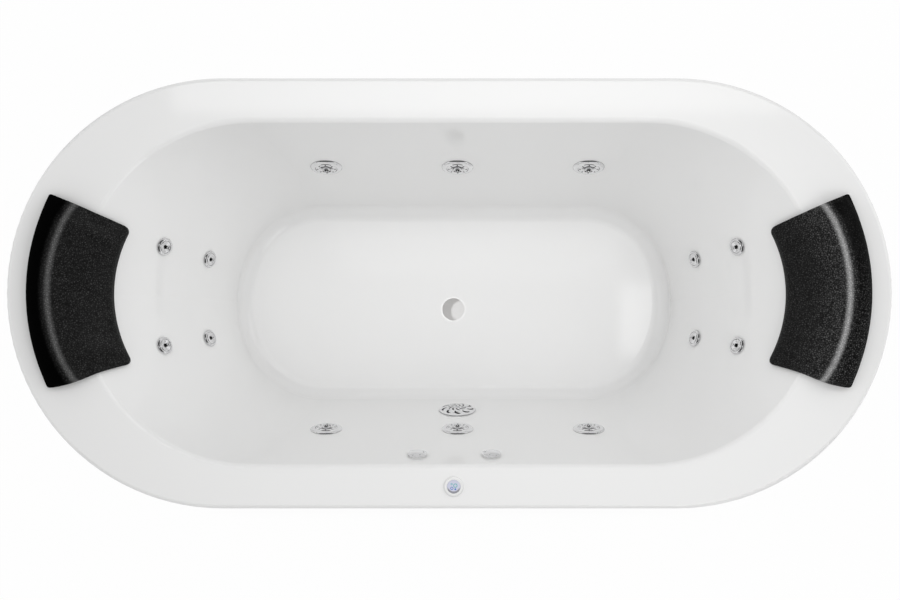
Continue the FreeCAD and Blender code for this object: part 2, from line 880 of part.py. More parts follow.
def suction_cover():
    """The domed grille: a thin dome with a skirt, pierced by two rings of swirling slots."""
    top = suction_flange_height + seat_gap
    inner = suction_flange_radius + seat_gap
    outer = inner + grille_skirt
    crown = top + grille_rise
    hole, head = screw_radius + 0.2, screw_head_radius + 0.2
    middle, inner_middle = outer / 2, inner / 2

    def outside_height(radius):
        return dome_height(radius, crown, outer, grille_rise)

    def inside_height(radius):
        return dome_height(radius, crown - grille_wall, inner, grille_rise - grille_wall)

    dome = turned([
        (hole, crown - screw_head_height), (hole, inside_height(hole)),
        (inner, top, inner_middle, inside_height(inner_middle)),
        (inner, 1.0), (outer, 1.0), (outer, top),
        (head, outside_height(head), middle, outside_height(middle))])
    cuts = []
    for ring_index in range(grille_rings):
        inside = slot_start + slot_ring_pitch * ring_index
        outside = inside + slot_reach
        lean = math.radians(slot_lean + slot_lean_step * ring_index)
        width = slot_width + slot_width_step * ring_index
        start = vec(inside, 0, top)
        end = vec(outside * math.cos(lean), outside * math.sin(lean), top)
        way = end - start
        way.normalize()
        side = vec(-way.y, way.x, 0) * (width / 2)
        bow = (start + end) * 0.5 - side * (2 * slot_bow)
        near = bow - side
        far = bow + side
        slot = Part.Face(Part.Wire([
            Part.Arc(start - side, near, end - side).toShape(),
            Part.LineSegment(end - side, end + side).toShape(),
            Part.Arc(end + side, far, start + side).toShape(),
            Part.LineSegment(start + side, start - side).toShape()])).extrude(vec(0, 0, crown))
        cuts += polar(slot, grille_slots)
    return dome.cut(cuts)


def suction_screw():
    crown = suction_flange_height + seat_gap + grille_rise
    low = crown - screw_head_height
    head = Part.makeCone(screw_radius, screw_head_radius, screw_head_height, vec(0, 0, low))
    slot = block(-screw_head_radius, screw_head_radius, -0.5, 0.5, crown - 0.8, crown + 1)
    return head.fuse(rod(screw_radius, 1.0 - suction_arm_depth, low)).cut(slot)


# ================= air controls and button =================

def air_body():
    bore = air_sleeve_radius - air_sleeve_wall
    floor = -air_sleeve_length + air_sleeve_wall
    sleeve = turned([
        (0, -air_sleeve_length), (air_sleeve_radius, -air_sleeve_length), (air_sleeve_radius, 0),
        (air_flange_radius, 0), (air_flange_radius, air_flange_height), (bore, air_flange_height),
        (bore, floor), (0, floor)])
    down = vec(0, -1, 0)
    hub = Part.makeCylinder(air_hub_radius, air_sleeve_radius + socket_depth,
                            vec(0, 0, -air_set_back), down)
    socket_start = air_sleeve_radius + 2.0
    return sleeve.fuse(hub).cut([
        rod(bore, floor, air_flange_height),
        Part.makeCylinder(air_pipe_radius - 3.0, socket_start + 1, vec(0, 0, -air_set_back), down),
        Part.makeCylinder(air_pipe_radius + slip_clearance, socket_depth + 1,
                          vec(0, -socket_start, -air_set_back), down)])


def air_knob():
    """A domed knob on a hollow valve stem, with an air hole near its edge."""
    stem = air_sleeve_radius - air_sleeve_wall - running_clearance
    low = air_flange_height + seat_gap
    skirt = low + knob_skirt_height
    top = low + knob_height
    edge = knob_radius
    knob = turned([
        (stem - knob_wall, -knob_stem_length), (stem, -knob_stem_length), (stem, low + 1.5),
        (edge - 2.0, low + 1.5), (edge - 2.0, low), (edge, low), (edge, skirt),
        (0, top, edge * 0.62, skirt + (top - skirt) * 0.72), (0, top - knob_wall),
        (stem - knob_wall, top - knob_wall)])
    return knob.cut(rod(knob_hole_radius, low, top + 1).translated(vec(-knob_hole_offset, 0, 0)))


def button_bezel():
    """Bezel, guide sleeve and closed switch chamber below the deck."""
    rim = button_radius + 0.25
    seat = bezel_height - button_thickness - button_travel + 0.2
    end = -button_sleeve_length - switch_length
    return turned([
        (0, end), (switch_radius, end), (switch_radius, -button_sleeve_length),
        (button_sleeve_radius, -button_sleeve_length), (button_sleeve_radius, 0),
        (bezel_radius, 0), (bezel_radius, 1.5),
        (rim + 1.2, bezel_height, bezel_radius - 1.0, bezel_height - 1.2), (rim, bezel_height),
        (rim, seat), (button_guide_radius, seat), (button_guide_radius, end + 3.0), (0, end + 3.0)])


def control_button():
    """Cap and plunger, drawn at rest with its cap just above the bezel."""
    top = bezel_height + 0.6
    low = top - button_thickness
    stem = button_guide_radius - running_clearance
    end = -button_sleeve_length + 4.0
    return turned([
        (0, end), (stem, end), (stem, low), (button_radius, low), (button_radius, top - 0.5),
        (button_radius - 0.8, top), (0, top)])


def button_frame():
    return frame_at(vec(fittings_x, -half_width + button_edge_distance, rim_height), UP, vec(0, 1, 0))


# ================= pump =================

def pump_mount_y():
    """The plane where the casing meets the motor."""
    return discharge_y + volute_depth / 2


def pump_frame():
    """Local Z points at the suction pipe, local Y is up, on the shaft's axis."""
    x, z = pump_axis()
    return frame_at(vec(x, pump_mount_y(), z), vec(0, -1, 0))


def pump_casing():
    """A volute of four growing quarter arcs, with a suction neck and an upright discharge neck."""
    step = volute_step
    radius = volute_start_radius
    centres = [(0, 0), (0, -step), (step, -step), (step, 0)]
    edges = []
    start = vec(radius, 0, 0)
    for k, (cx, cy) in enumerate(centres):
        size = radius + k * step
        middle_angle = math.radians(45 + 90 * k)
        end_angle = math.radians(90 + 90 * k)
        middle = vec(cx + size * math.cos(middle_angle), cy + size * math.sin(middle_angle), 0)
        end = vec(cx + size * math.cos(end_angle), cy + size * math.sin(end_angle), 0)
        edges.append(Part.Arc(start, middle, end).toShape())
        start = end
    edges.append(Part.LineSegment(start, vec(radius, 0, 0)).toShape())
    body = Part.Face(Part.Wire(edges)).extrude(vec(0, 0, volute_depth))
    outlet_x = discharge_offset()
    outlet_top = discharge_neck_top()
    middle_z = volute_depth / 2
    up = vec(0, 1, 0)
    body = body.fuse([
        Part.makeCylinder(discharge_radius + 3.5, outlet_top, vec(outlet_x, 0, middle_z), up),
        rod(port_neck_radius, volute_depth, volute_depth + port_neck_length),
        rod(motor_radius + fin_height, 0, volute_wall)])
    chamber = impeller_radius + 3.0
    return body.cut([
        rod(chamber, volute_wall, volute_depth - volute_wall),
        rod(suction_pipe_radius - suction_pipe_wall, volute_depth - volute_wall - 1,
            volute_depth + port_neck_length + 1),
        Part.makeCylinder(discharge_radius - discharge_wall - 1.0, outlet_top + 1,
                          vec(outlet_x, 0, middle_z), up),
        Part.makeCylinder(discharge_radius + slip_clearance, socket_depth + 1,
                          vec(outlet_x, outlet_top - socket_depth, middle_z), up),
        rod(shaft_radius + running_clearance, -1, volute_wall + 1)])


def discharge_neck_top():
    """The casing's outlet ends this high above the shaft, just under the manifold's socket."""
    return water_line_height() - discharge_drop() - neck_gap - pump_axis()[1]


def discharge_pipe():
    z = pump_axis()[1]
    low = z + discharge_neck_top() - socket_depth + 0.5
    high = water_line_height() - water_hub_radius
    start = vec(-manifold_x, discharge_y, low)
    return tube_between(discharge_radius, discharge_radius - discharge_wall, start,
                        vec(-manifold_x, discharge_y, high))


def pump_rotor():
    """Impeller with curved vanes, shaft, and cooling fan, butted end to end."""
    disc_low = volute_wall + 4.0
    disc_high = disc_low + 4.0
    vane_high = volute_depth - volute_wall - 4.0
    vane = Part.Face(Part.Wire([
        Part.Arc(vec(14, -2, 0), vec(30, 5, 0), vec(impeller_radius - 3, 20, 0)).toShape(),
        Part.LineSegment(vec(impeller_radius - 3, 20, 0), vec(impeller_radius - 6, 23, 0)).toShape(),
        Part.Arc(vec(impeller_radius - 6, 23, 0), vec(27, 8, 0), vec(14, 2, 0)).toShape(),
        Part.LineSegment(vec(14, 2, 0), vec(14, -2, 0)).toShape()]))
    vane = vane.extrude(vec(0, 0, vane_high - disc_high + 1))
    vane.translate(vec(0, 0, disc_high - 1))
    impeller = rod(impeller_radius, disc_low, disc_high).fuse(
        polar(vane, impeller_vanes) + [rod(15.0, disc_high - 1, disc_high + 12)])
    fan_high = -motor_length - 10.0
    shaft = rod(shaft_radius, fan_high, disc_low)
    blade = block(12.0, fan_radius, -1.5, 1.5, fan_high - 24, fan_high - 4)
    blade.rotate(vec(30, 0, fan_high - 14), vec(1, 0, 0), 35)
    fan = rod(20.0, fan_high - 28, fan_high).fuse(polar(blade, fan_blades))
    return [impeller, shaft, fan]


def pump_motor():
    """Finned motor housing with end bells, a foot and a pad for the terminal box."""
    z = pump_axis()[1]
    foot_low = rail_top + tray_thickness - z
    bell = 15.0
    barrel = rod(motor_radius - 4, -motor_length, 0)
    bells = [rod(motor_radius, -bell, 0), rod(motor_radius, -motor_length, -motor_length + bell)]
    fin = block(motor_radius - 8, motor_radius + fin_height, -1.5, 1.5, -motor_length + bell, -bell)
    foot = block(-motor_foot_half_width, motor_foot_half_width, foot_low,
                 foot_low + motor_foot_thickness, -motor_length + 40, -40)
    web = block(-35, 35, foot_low + motor_foot_thickness - 1, -motor_radius + 14,
                -motor_length + 52, -52)
    pad = block(-25, 25, motor_radius - 10, terminal_low(), -motor_length + 50, -50)
    body = barrel.fuse(bells + polar(fin, motor_fins) + [foot, web, pad])
    return body.cut(rod(shaft_radius + running_clearance, -motor_length - 1, 1))


def terminal_low():
    return motor_radius + fin_height + 4.0


def fan_cowl():
    """Pressed cowl over the fan, open to the motor, with radial air slots in its end."""
    outer = motor_radius
    low = -motor_length - cowl_length
    cup = ring(outer, outer - cowl_wall, low, -motor_length).fuse(
        rod(outer, low, low + cowl_wall))
    slot = block(16.0, outer - 10.0, -2.5, 2.5, low - 1, low + cowl_wall + 1)
    return cup.cut(polar(slot, 10))


def terminal_box():
    """Cable box with an overhanging lid and a gland for the supply cable."""
    low = terminal_low()
    half = terminal_width / 2
    middle = -motor_length / 2
    near, far = middle - terminal_length / 2, middle + terminal_length / 2
    lid_low = low + terminal_height - 7.0
    box = block(-half, half, low, lid_low, near, far)
    lid = block(-half - 1.5, half + 1.5, lid_low, low + terminal_height, near - 1.5, far + 1.5)
    gland_start = vec(-half + 1, low + 12.0, middle)
    gland = rod_between(9.0, gland_start, gland_start - vec(19.0, 0, 0))
    hole = rod_between(4.5, gland_start - vec(4.0, 0, 0), gland_start - vec(20.0, 0, 0))
    return box.fuse([lid, gland]).cut(hole)


# ================= support =================

def box_tube(start, end, size):
    """A hollow square tube along X, Y or Z between the middles of its two ends."""
    way = end - start
    half = size / 2
    inner = half - tube_wall
    low = vec(min(start.x, end.x), min(start.y, end.y), min(start.z, end.z))
    high = vec(max(start.x, end.x), max(start.y, end.y), max(start.z, end.z))
    solids = []
    for reach, past in ((half, 0.0), (inner, 1.0)):
        spread = [reach if abs(part) < 0.001 else past for part in way]
        solids.append(block(low.x - spread[0], high.x + spread[0], low.y - spread[1],
                            high.y + spread[1], low.z - spread[2], high.z + spread[2]))
    return solids[0].cut(solids[1])


def rail_half_length():
    return half_length - rail_end_inset


def foot_places():
    end = rail_half_length() - foot_inset
    return [(x, sy * rail_y) for x in (-end, 0.0, end) for sy in (1, -1)]


def cradle_rails():
    z = rail_top - tube_size / 2
    rails = []
    for sy in (1, -1):
        rail = box_tube(vec(-rail_half_length(), sy * rail_y, z),
                        vec(rail_half_length(), sy * rail_y, z), tube_size)
        bosses = [rod(boss_radius, rail_bottom - boss_height, rail_bottom).translated(vec(x, y, 0))
                  for x, y in foot_places() if y * sy > 0]
        bores = [rod(stud_radius + running_clearance, rail_bottom - boss_height - 1,
                     rail_bottom + tube_wall + 1).translated(vec(x, y, 0))
                 for x, y in foot_places() if y * sy > 0]
        rails.append(rail.fuse(bosses).cut(bores))
    return rails


def post_y():
    return half_width - lip_thickness - post_lip_gap - post_size / 2


def crossbars():
    z = rail_top - tube_size / 2
    inner = rail_y - tube_size / 2
    outer = rail_y + tube_size / 2
    tip = post_y() + post_size / 2
    bars = []
    for sx in (-1, 1):
        x = sx * frame_x
        bars.append(box_tube(vec(x, -inner, z), vec(x, inner, z), tube_size))
        for sy in (-1, 1):
            bars.append(box_tube(vec(x, sy * outer, z), vec(x, sy * tip, z), tube_size))
    pump_x = pump_axis()[0]
    reach = motor_foot_half_width + 14.0
    bars.append(block(pump_x - reach, pump_x + reach, -outer, outer, rail_top,
                      rail_top + tray_thickness))
    return bars


def uprights():
    top = deck_underside - batten_height
    posts = []
    for sx in (-1, 1):
        for sy in (-1, 1):
            x, y = sx * frame_x, sy * post_y()
            posts.append(box_tube(vec(x, y, rail_top), vec(x, y, top), post_size))
            x, y = sx * (rail_half_length() - post_size / 2), sy * rail_y
            posts.append(box_tube(vec(x, y, rail_top), vec(x, y, top), post_size))
    return posts


def deck_battens():
    low = deck_underside - batten_height
    y_low, y_high = post_y() - batten_width / 2, post_y() + batten_width / 2
    half = batten_length / 2
    gap = button_batten_gap / 2
    battens = [
        block(-half, half, y_low, y_high, low, deck_underside),
        block(-half, fittings_x - gap, -y_high, -y_low, low, deck_underside),
        block(fittings_x + gap, half, -y_high, -y_low, low, deck_underside)]
    x = rail_half_length() - post_size / 2
    for sx in (-1, 1):
        battens.append(block(sx * x - batten_width / 2, sx * x + batten_width / 2,
                             -end_batten_length / 2, end_batten_length / 2, low, deck_underside))
    return battens


def base_board():
    """Board bonded under the flat of the floor, with round ends and a hole round the waste."""
    reach = opening_reach - floor_run - board_margin
    half = wall_y(basin_depth) - board_margin + shell_thickness
    straight = reach - half
    outline = Part.Wire([
        Part.LineSegment(vec(-straight, half, rail_top), vec(straight, half, rail_top)).toShape(),
        Part.Arc(vec(straight, half, rail_top), vec(reach, 0, rail_top),
                 vec(straight, -half, rail_top)).toShape(),
        Part.LineSegment(vec(straight, -half, rail_top), vec(-straight, -half, rail_top)).toShape(),
        Part.Arc(vec(-straight, -half, rail_top), vec(-reach, 0, rail_top),
                 vec(-straight, half, rail_top)).toShape()])
    board = Part.Face(outline).extrude(vec(0, 0, board_thickness))
    hole = rod(2.1 * waste_radius, rail_top - 1, floor_clearance + 1)
    return board.cut(hole.translated(vec(waste_x, waste_y, 0)))


def levelling_foot():
    """Rubber-footed stud, on its own axis from the floor up into the rail."""
    top = rail_top - tube_wall - foot_raise - 3.0
    return turned([
        (0, 0), (foot_radius, 0), (foot_radius, 5.0), (foot_radius - 6.0, foot_pad_height,
                                                      foot_radius - 1.5, 9.5),
        (stud_radius, foot_pad_height), (stud_radius, top), (0, top)])


def foot_lock_nuts():
    high = rail_bottom - boss_height
    nut = hexagon(lock_nut_width, stud_radius + running_clearance, high - lock_nut_height, high)
    return [nut.translated(vec(x, y, 0)) for x, y in foot_places()]


def motor_bolts():
    """Hexagon heads that hold the motor's foot to the tray."""
    x = pump_axis()[0]
    low = rail_top + tray_thickness + motor_foot_thickness
    bolts = []
    for sx in (-1, 1):
        for along in (-motor_length + 52, -52):
            head = hexagon(13.0, 0.5, low, low + 5.0).fuse(rod(1.0, low, low + 5.0)).removeSplitter()
            y = pump_mount_y() - along
            bolts.append(head.translated(vec(x + sx * (motor_foot_half_width - 12), y, 0)))
    return bolts


# ================= headrests =================

def pad_slope(reach):
    """Height of the shoulder under a pad, at a distance from the middle of the opening's end curve."""
    fall = shoulder_depth / shoulder_run
    return min(0.0, (reach - opening_half_width) * fall)


def rounded_wire(points, radii):
    """A closed wire through corner points, each rounded by a tangent arc of its radius."""
    count = len(points)
    edges = []
    ends = []
    for k in range(count):
        corner, radius = points[k], radii[k]
        back = points[k - 1] - corner
        ahead = points[(k + 1) % count] - corner
        back.normalize()
        ahead.normalize()
        if radius == 0:
            ends.append((corner, corner))
            continue
        half_angle = back.getAngle(ahead) / 2
        setback = radius / math.tan(half_angle)
        middle_way = back + ahead
        middle_way.normalize()
        middle = corner + middle_way * (radius / math.sin(half_angle) - radius)
        ends.append((corner + back * setback, corner + ahead * setback))
        edges.append((k, Part.Arc(ends[k][0], middle, ends[k][1]).toShape()))
    arcs = dict(edges)
    loop = []
    for k in range(count):
        if k in arcs:
            loop.append(arcs[k])
        loop.append(Part.LineSegment(ends[k][1], ends[(k + 1) % count][0]).toShape())
    return Part.Wire(loop)


def pad_section(angle, fullness, pull):
    """One slice of the pad on a plane through the end curve's middle, as a rounded outline."""
    outer = opening_half_width + pad_outer_reach - pull
    inner = opening_half_width - pad_inner_reach + pull * pad_front_pull
    foot = inner + pad_front_set_back
    ridge = outer - pad_ridge_set_back
    profile = [
        (outer - 2.0, -pad_rim_overlap, 0),
        (outer, pad_rim_height * fullness, pad_rim_radius * fullness),
        (ridge, pad_ridge_height * fullness, pad_ridge_radius),
        (inner, pad_slope(inner) + pad_slope_height * fullness, pad_front_radius * fullness),
        (foot, pad_slope(foot) - pad_foot_overlap, 0),
        (opening_half_width + pad_foot_reach, -pad_foot_overlap, 0)]
    turn = math.radians(angle)
    points = [vec(opening_straight + reach * math.cos(turn), reach * math.sin(turn), rim_height + h)
              for reach, h, radius in profile]
    return rounded_wire(points, [radius for reach, h, radius in profile])


def headrest(shell):
    """The right-hand pad: a loft of slices round the opening's end, seated on the shell."""
    half = [(part * pad_half_angle, fullness, pull) for part, fullness, pull in pad_slices]
    slices = [(-angle, fullness, pull) for angle, fullness, pull in reversed(half[1:])] + half
    blank = Part.makeLoft([pad_section(*piece) for piece in slices], True, False)
    seat = shell.translated(vec(0, 0, pad_deck_gap))
    pad = max(blank.cut(seat).Solids, key=lambda solid: solid.Volume)
    sockets = [placed(rod(cup_radius + 1.0, -1, cup_height + 1.0), frame) for frame in cup_frames()]
    return pad.cut(sockets)


def cup_frames():
    """Where the suction cups sit on the deck, under the right-hand pad."""
    reach = opening_half_width + pad_outer_reach - cup_edge_distance
    frames = []
    for sign in (-1, 1):
        turn = math.radians(sign * cup_angle)
        point = vec(opening_straight + reach * math.cos(turn), reach * math.sin(turn), rim_height)
        frames.append(frame_at(point, UP, vec(0, 1, 0)))
    return frames


def suction_cup():
    low = pad_deck_gap
    top = cup_height + 1.0
    return turned([
        (0, 3.0), (cup_radius * 0.6, 2.2), (cup_radius, low), (cup_radius, low + 0.8),
        (cup_stem_radius, 4.6), (cup_stem_radius, top), (0, top)])


def mirrored(shape):
    return shape.mirror(ORIGIN, vec(1, 0, 0))


# ================= assembly =================

def mini_jet_frames(basin):
    places = [(upper_mini_depth, upper_mini_y), (upper_mini_depth, -upper_mini_y),
              (lower_mini_depth, lower_mini_y), (lower_mini_depth, -lower_mini_y)]
    return [end_frame(basin, sx, y, depth) for sx in (-1, 1) for depth, y in places]


def main_jet_frames():
    return [side_frame(sy, x, main_jet_depth) for sy in (1, -1) for x in main_jet_x]


def write_parts():
    os.makedirs("parts", exist_ok=True)
    basin = basin_solid(0.0, floor_fillet)
    jets = main_jet_frames()
    minis = mini_jet_frames(basin)
    suction = suction_frame()
    airs = drop_frames()
    button = button_frame()
    hole_list = [(frame, jet_sleeve_radius + jet_hole_clearance) for frame in jets]
    hole_list += [(frame, mini_sleeve_radius + hole_clearance) for frame in minis]
    hole_list += [(suction, suction_sleeve_radius + hole_clearance)]
    hole_list += [(frame, air_sleeve_radius + hole_clearance) for frame in airs]
    hole_list += [(button, button_sleeve_radius + hole_clearance)]
    shell = make_shell(basin, hole_list)
    save("bath_shell", shell)

    save("main_jet_flanges", *[placed(jet_flange(), frame) for frame in jets])
    save("main_jet_bodies", *[placed(jet_body(), frame) for frame in jets])
    turning, nozzle = jet_ring(), jet_nozzle()
    for number, frame in enumerate(jets, 1):
        save("main_jet_ring_%d" % number, placed(turning, frame))
        save("main_jet_nozzle_%d" % number, placed(nozzle, frame))

    save("mini_jet_flanges", *[placed(mini_flange(), frame) for frame in minis])
    save("mini_jet_bodies", *[mini_body(frame) for frame in minis])
    face = mini_face()
    for number, frame in enumerate(minis, 1):
        save("mini_jet_face_%d" % number, placed(face, frame))

    gaskets, nuts = [], []
    gasket, nut = jet_stack()[:2]
    for frame in jets:
        gaskets.append(placed(ring(jet_gasket_radius, jet_sleeve_radius + gasket_clearance, gasket,
                                   -shell_thickness), frame))
        nuts.append(placed(hexagon(jet_nut_width, jet_sleeve_radius + thread_clearance, nut, gasket),
                           frame))
    gaskets.append(placed(ring(suction_sleeve_radius + 9.0, suction_sleeve_radius + gasket_clearance,
                               gasket,
                               -shell_thickness), suction))
    nuts.append(placed(hexagon(suction_nut_width, suction_sleeve_radius + thread_clearance, nut,
                               gasket), suction))
    for frame in airs:
        gaskets.append(placed(ring(air_flange_radius, air_sleeve_radius + gasket_clearance, gasket,
                                   -shell_thickness), frame))
        nuts.append(placed(hexagon(air_nut_width, air_sleeve_radius + thread_clearance, nut + 1.0,
                                   gasket), frame))
    nuts.append(placed(hexagon(button_nut_width, button_sleeve_radius + thread_clearance,
                               -shell_thickness - 8.0, -shell_thickness), button))
    gasket, nut = mini_stack()[:2]
    for frame in minis:
        inner = mini_sleeve_radius + 0.2
        gaskets.append(wall_gasket(mini_gasket_radius, inner, -1.0, mini_gasket_thickness, frame, shell))
        gaskets.append(wall_gasket(mini_gasket_radius, inner, gasket, -shell_thickness + 1.2, frame,
                                   shell))
        nuts.append(placed(hexagon(mini_nut_width, mini_sleeve_radius + thread_clearance, nut, gasket),
                           frame))
    save("fitting_gaskets", *gaskets)
    save("fitting_back_nuts", *nuts)

    save("suction_body", placed(suction_body(), suction))
    save("suction_cover", placed(suction_cover(), suction))
    save("suction_screw", placed(suction_screw(), suction))
    save("air_control_bodies", *[placed(air_body(), frame) for frame in airs])
    save("air_knob_left", placed(air_knob(), airs[0]))
    right_knob = air_knob()
    right_knob.rotate(ORIGIN, UP, 180)
    save("air_knob_right", placed(right_knob, airs[1]))
    save("button_bezel", placed(button_bezel(), button))
    save("control_button", placed(control_button(), button))

    pad = headrest(shell)
    cups = [placed(suction_cup(), frame) for frame in cup_frames()]
    save("headrest_right", pad)
    save("headrest_left", mirrored(pad))
    save("headrest_cups_right", *cups)
    save("headrest_cups_left", *[mirrored(cup) for cup in cups])

    pump = pump_frame()
    save("pump_casing", placed(pump_casing(), pump))
    save("pump_rotor", *[placed(piece, pump) for piece in pump_rotor()])
    save("pump_motor", placed(pump_motor(), pump))
    save("pump_fan_cowl", placed(fan_cowl(), pump))
    save("pump_terminal_box", placed(terminal_box(), pump))

    save("water_pipes", *water_parts(minis), discharge_pipe())
    save("suction_pipe", *suction_parts())
    save("air_pipes", *air_parts())
    save("branch_hoses", *branch_hoses(minis))

    save("base_board", base_board())
    save("deck_battens", *deck_battens())
    save("cradle_rails", *cradle_rails())
    save("cradle_crossbars", *crossbars())
    save("cradle_uprights", *uprights())
    foot = levelling_foot()
    for number, (x, y) in enumerate(foot_places(), 1):
        save("levelling_foot_%d" % number, foot.translated(vec(x, y, 0)))
    save("cradle_fasteners", *foot_lock_nuts(), *motor_bolts())


write_parts()
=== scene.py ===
import json
import math

import bmesh
import bpy
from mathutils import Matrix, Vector
from mathutils.bvhtree import BVHTree


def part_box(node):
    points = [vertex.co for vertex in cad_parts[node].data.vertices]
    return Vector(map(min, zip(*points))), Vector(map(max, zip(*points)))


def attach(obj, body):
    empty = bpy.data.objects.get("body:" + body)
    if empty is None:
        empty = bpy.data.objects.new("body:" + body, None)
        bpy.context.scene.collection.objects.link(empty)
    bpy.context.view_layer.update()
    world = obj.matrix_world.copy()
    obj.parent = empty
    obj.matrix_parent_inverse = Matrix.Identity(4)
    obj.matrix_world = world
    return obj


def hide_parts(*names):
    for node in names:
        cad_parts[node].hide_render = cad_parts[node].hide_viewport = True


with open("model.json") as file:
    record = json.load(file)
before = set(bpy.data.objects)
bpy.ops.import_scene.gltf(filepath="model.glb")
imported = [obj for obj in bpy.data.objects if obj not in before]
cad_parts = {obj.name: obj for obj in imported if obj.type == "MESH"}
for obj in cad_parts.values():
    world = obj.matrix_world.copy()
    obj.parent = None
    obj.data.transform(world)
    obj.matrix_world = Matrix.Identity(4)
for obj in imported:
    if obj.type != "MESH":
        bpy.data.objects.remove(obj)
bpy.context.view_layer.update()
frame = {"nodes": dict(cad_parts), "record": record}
nodes = frame["nodes"]

# Sizes are in metres. The bath lies along X, and its button is on the -Y side of the rim.
RIM_HEIGHT = 0.560
END_CURVE_X = 0.402                  # middle of the opening's round end
OPENING_RADIUS = 0.347               # half the opening's width
# a headrest's outer edge and its highest line, from the middle of the round end
PAD_OUTER = OPENING_RADIUS + 0.101
PAD_RIDGE = PAD_OUTER - 0.051


# ---------------------------------------------------------------- shader maths

class Signal:
    """A value inside a node tree: arithmetic on it adds Math nodes."""

    def __init__(self, nodes, socket):
        self.nodes = nodes
        self.socket = socket

    def maths(self, operation, *values):
        return self.nodes.add("ShaderNodeMath", {"operation": operation}, dict(enumerate(values)))

    def __add__(self, other):
        return self.maths("ADD", self, other)

    def __radd__(self, other):
        return self.maths("ADD", other, self)

    def __sub__(self, other):
        return self.maths("SUBTRACT", self, other)

    def __rsub__(self, other):
        return self.maths("SUBTRACT", other, self)

    def __mul__(self, other):
        return self.maths("MULTIPLY", self, other)

    def __rmul__(self, other):
        return self.maths("MULTIPLY", other, self)

    def __gt__(self, other):
        return self.maths("GREATER_THAN", self, other)

    def least(self, other):
        return self.maths("MINIMUM", self, other)

    def most(self, other):
        return self.maths("MAXIMUM", self, other)

    def size(self):
        return self.maths("ABSOLUTE", self)

    def wave(self):
        return self.maths("SINE", self)

    def root(self):
        return self.maths("SQRT", self)


# places of a Mix node's colour sockets
MIX_SHARE, MIX_FIRST, MIX_SECOND, MIX_COLOUR = 0, 6, 7, 2


class NodeTree:
    """The nodes of a material or of the world."""

    def __init__(self, holder):
        holder.use_nodes = True
        self.tree = holder.node_tree

    def add(self, kind, settings=None, inputs=None, output=0):
        """A node of this type, with its settings first and then its sockets' values or links."""
        node = self.tree.nodes.new(kind)
        for name, value in (settings or {}).items():
            if name == "stops":
                self.set_stops(node.color_ramp, value)
            else:
                setattr(node, name, value)
        for socket, value in (inputs or {}).items():
            if isinstance(value, Signal):
                self.tree.links.new(value.socket, node.inputs[socket])
            else:
                node.inputs[socket].default_value = value
        return Signal(self, node.outputs[output])

    @staticmethod
    def set_stops(ramp, stops):
        while len(ramp.elements) < len(stops):
            ramp.elements.new(1.0)
        for element, (position, colour) in zip(ramp.elements, stops):
            element.position = position
            element.color = colour

    def ray(self, kind):
        return self.add("ShaderNodeLightPath", output="Is %s Ray" % kind)

    def seen_ray(self):
        """1 for what the camera sees straight on, in a reflection or through glass."""
        return self.ray("Camera").most(self.ray("Glossy")).most(self.ray("Transmission"))

    def parts(self, vector):
        split = self.add("ShaderNodeSeparateXYZ", None, {0: vector}).socket.node
        return [Signal(self, socket) for socket in split.outputs]

    def smooth_step(self, value, low, high):
        """0 at low and 1 at high, with an eased change between them; low may be the larger."""
        return self.add("ShaderNodeMapRange", {"interpolation_type": "SMOOTHSTEP"},
                        {"Value": value, "From Min": low, "From Max": high})

    def show(self, output, shader):
        """Makes this shader the tree's result."""
        self.tree.links.new(shader.socket, self.tree.nodes[output].inputs["Surface"])


class Finish(NodeTree):
    """A material with one Principled shader."""

    def __init__(self, name, **uniform):
        self.material = bpy.data.materials.new(name)
        super().__init__(self.material)
        self.shader = self.tree.nodes["Principled BSDF"]
        for socket, value in uniform.items():
            self.shader.inputs[socket.replace("_", " ")].default_value = value

    def place(self):
        """Where a point is, in metres, in the object's own frame."""
        return self.add("ShaderNodeTexCoord", output="Object")

    def facing(self):
        """The surface's own direction, as three values."""
        return self.parts(self.add("ShaderNodeNewGeometry", output="Normal"))

    def stretched(self, vector, x, y, z):
        return self.add("ShaderNodeVectorMath", {"operation": "MULTIPLY"},
                        {0: vector, 1: (x, y, z)})

    def noise(self, vector, scale, detail=3.0, roughness=0.5):
        return self.add("ShaderNodeTexNoise", None, {"Vector": vector, "Scale": scale,
                                                     "Detail": detail, "Roughness": roughness})

    def cells(self, vector, scale, feature="F1", output="Distance"):
        return self.add("ShaderNodeTexVoronoi", {"feature": feature},
                        {"Vector": vector, "Scale": scale}, output)

    def cell_edges(self, vector, scale):
        """How far a point is from the line between two cells."""
        return self.cells(vector, scale, "DISTANCE_TO_EDGE")

    def ramp(self, value, *stops):
        return self.add("ShaderNodeValToRGB", {"stops": stops}, {0: value})

    def blend(self, share, first, second):
        """A colour between two others."""
        return self.add("ShaderNodeMix", {"data_type": "RGBA"},
                        {MIX_SHARE: share, MIX_FIRST: first, MIX_SECOND: second}, MIX_COLOUR)

    def set(self, socket, value):
        self.tree.links.new(value.socket, self.shader.inputs[socket])
        return self

    def relief(self, height, depth, strength=1.0):
        """Bump from a height of 0 to 1 that stands for this depth in metres."""
        bump = self.add("ShaderNodeBump", None,
                        {"Strength": strength, "Distance": depth, "Height": height})
        return self.set("Normal", bump)


def rgb(red, green, blue):
    return (red, green, blue, 1.0)


def grey(level):
    return rgb(level, level, level)


def dimmed(colour, share):
    return rgb(*(share * part for part in colour[:3]))


# ---------------------------------------------------------------- finishes

GROOVE_SHADE_REACH = 0.007         # how near a wall has to be for painted shade in a groove
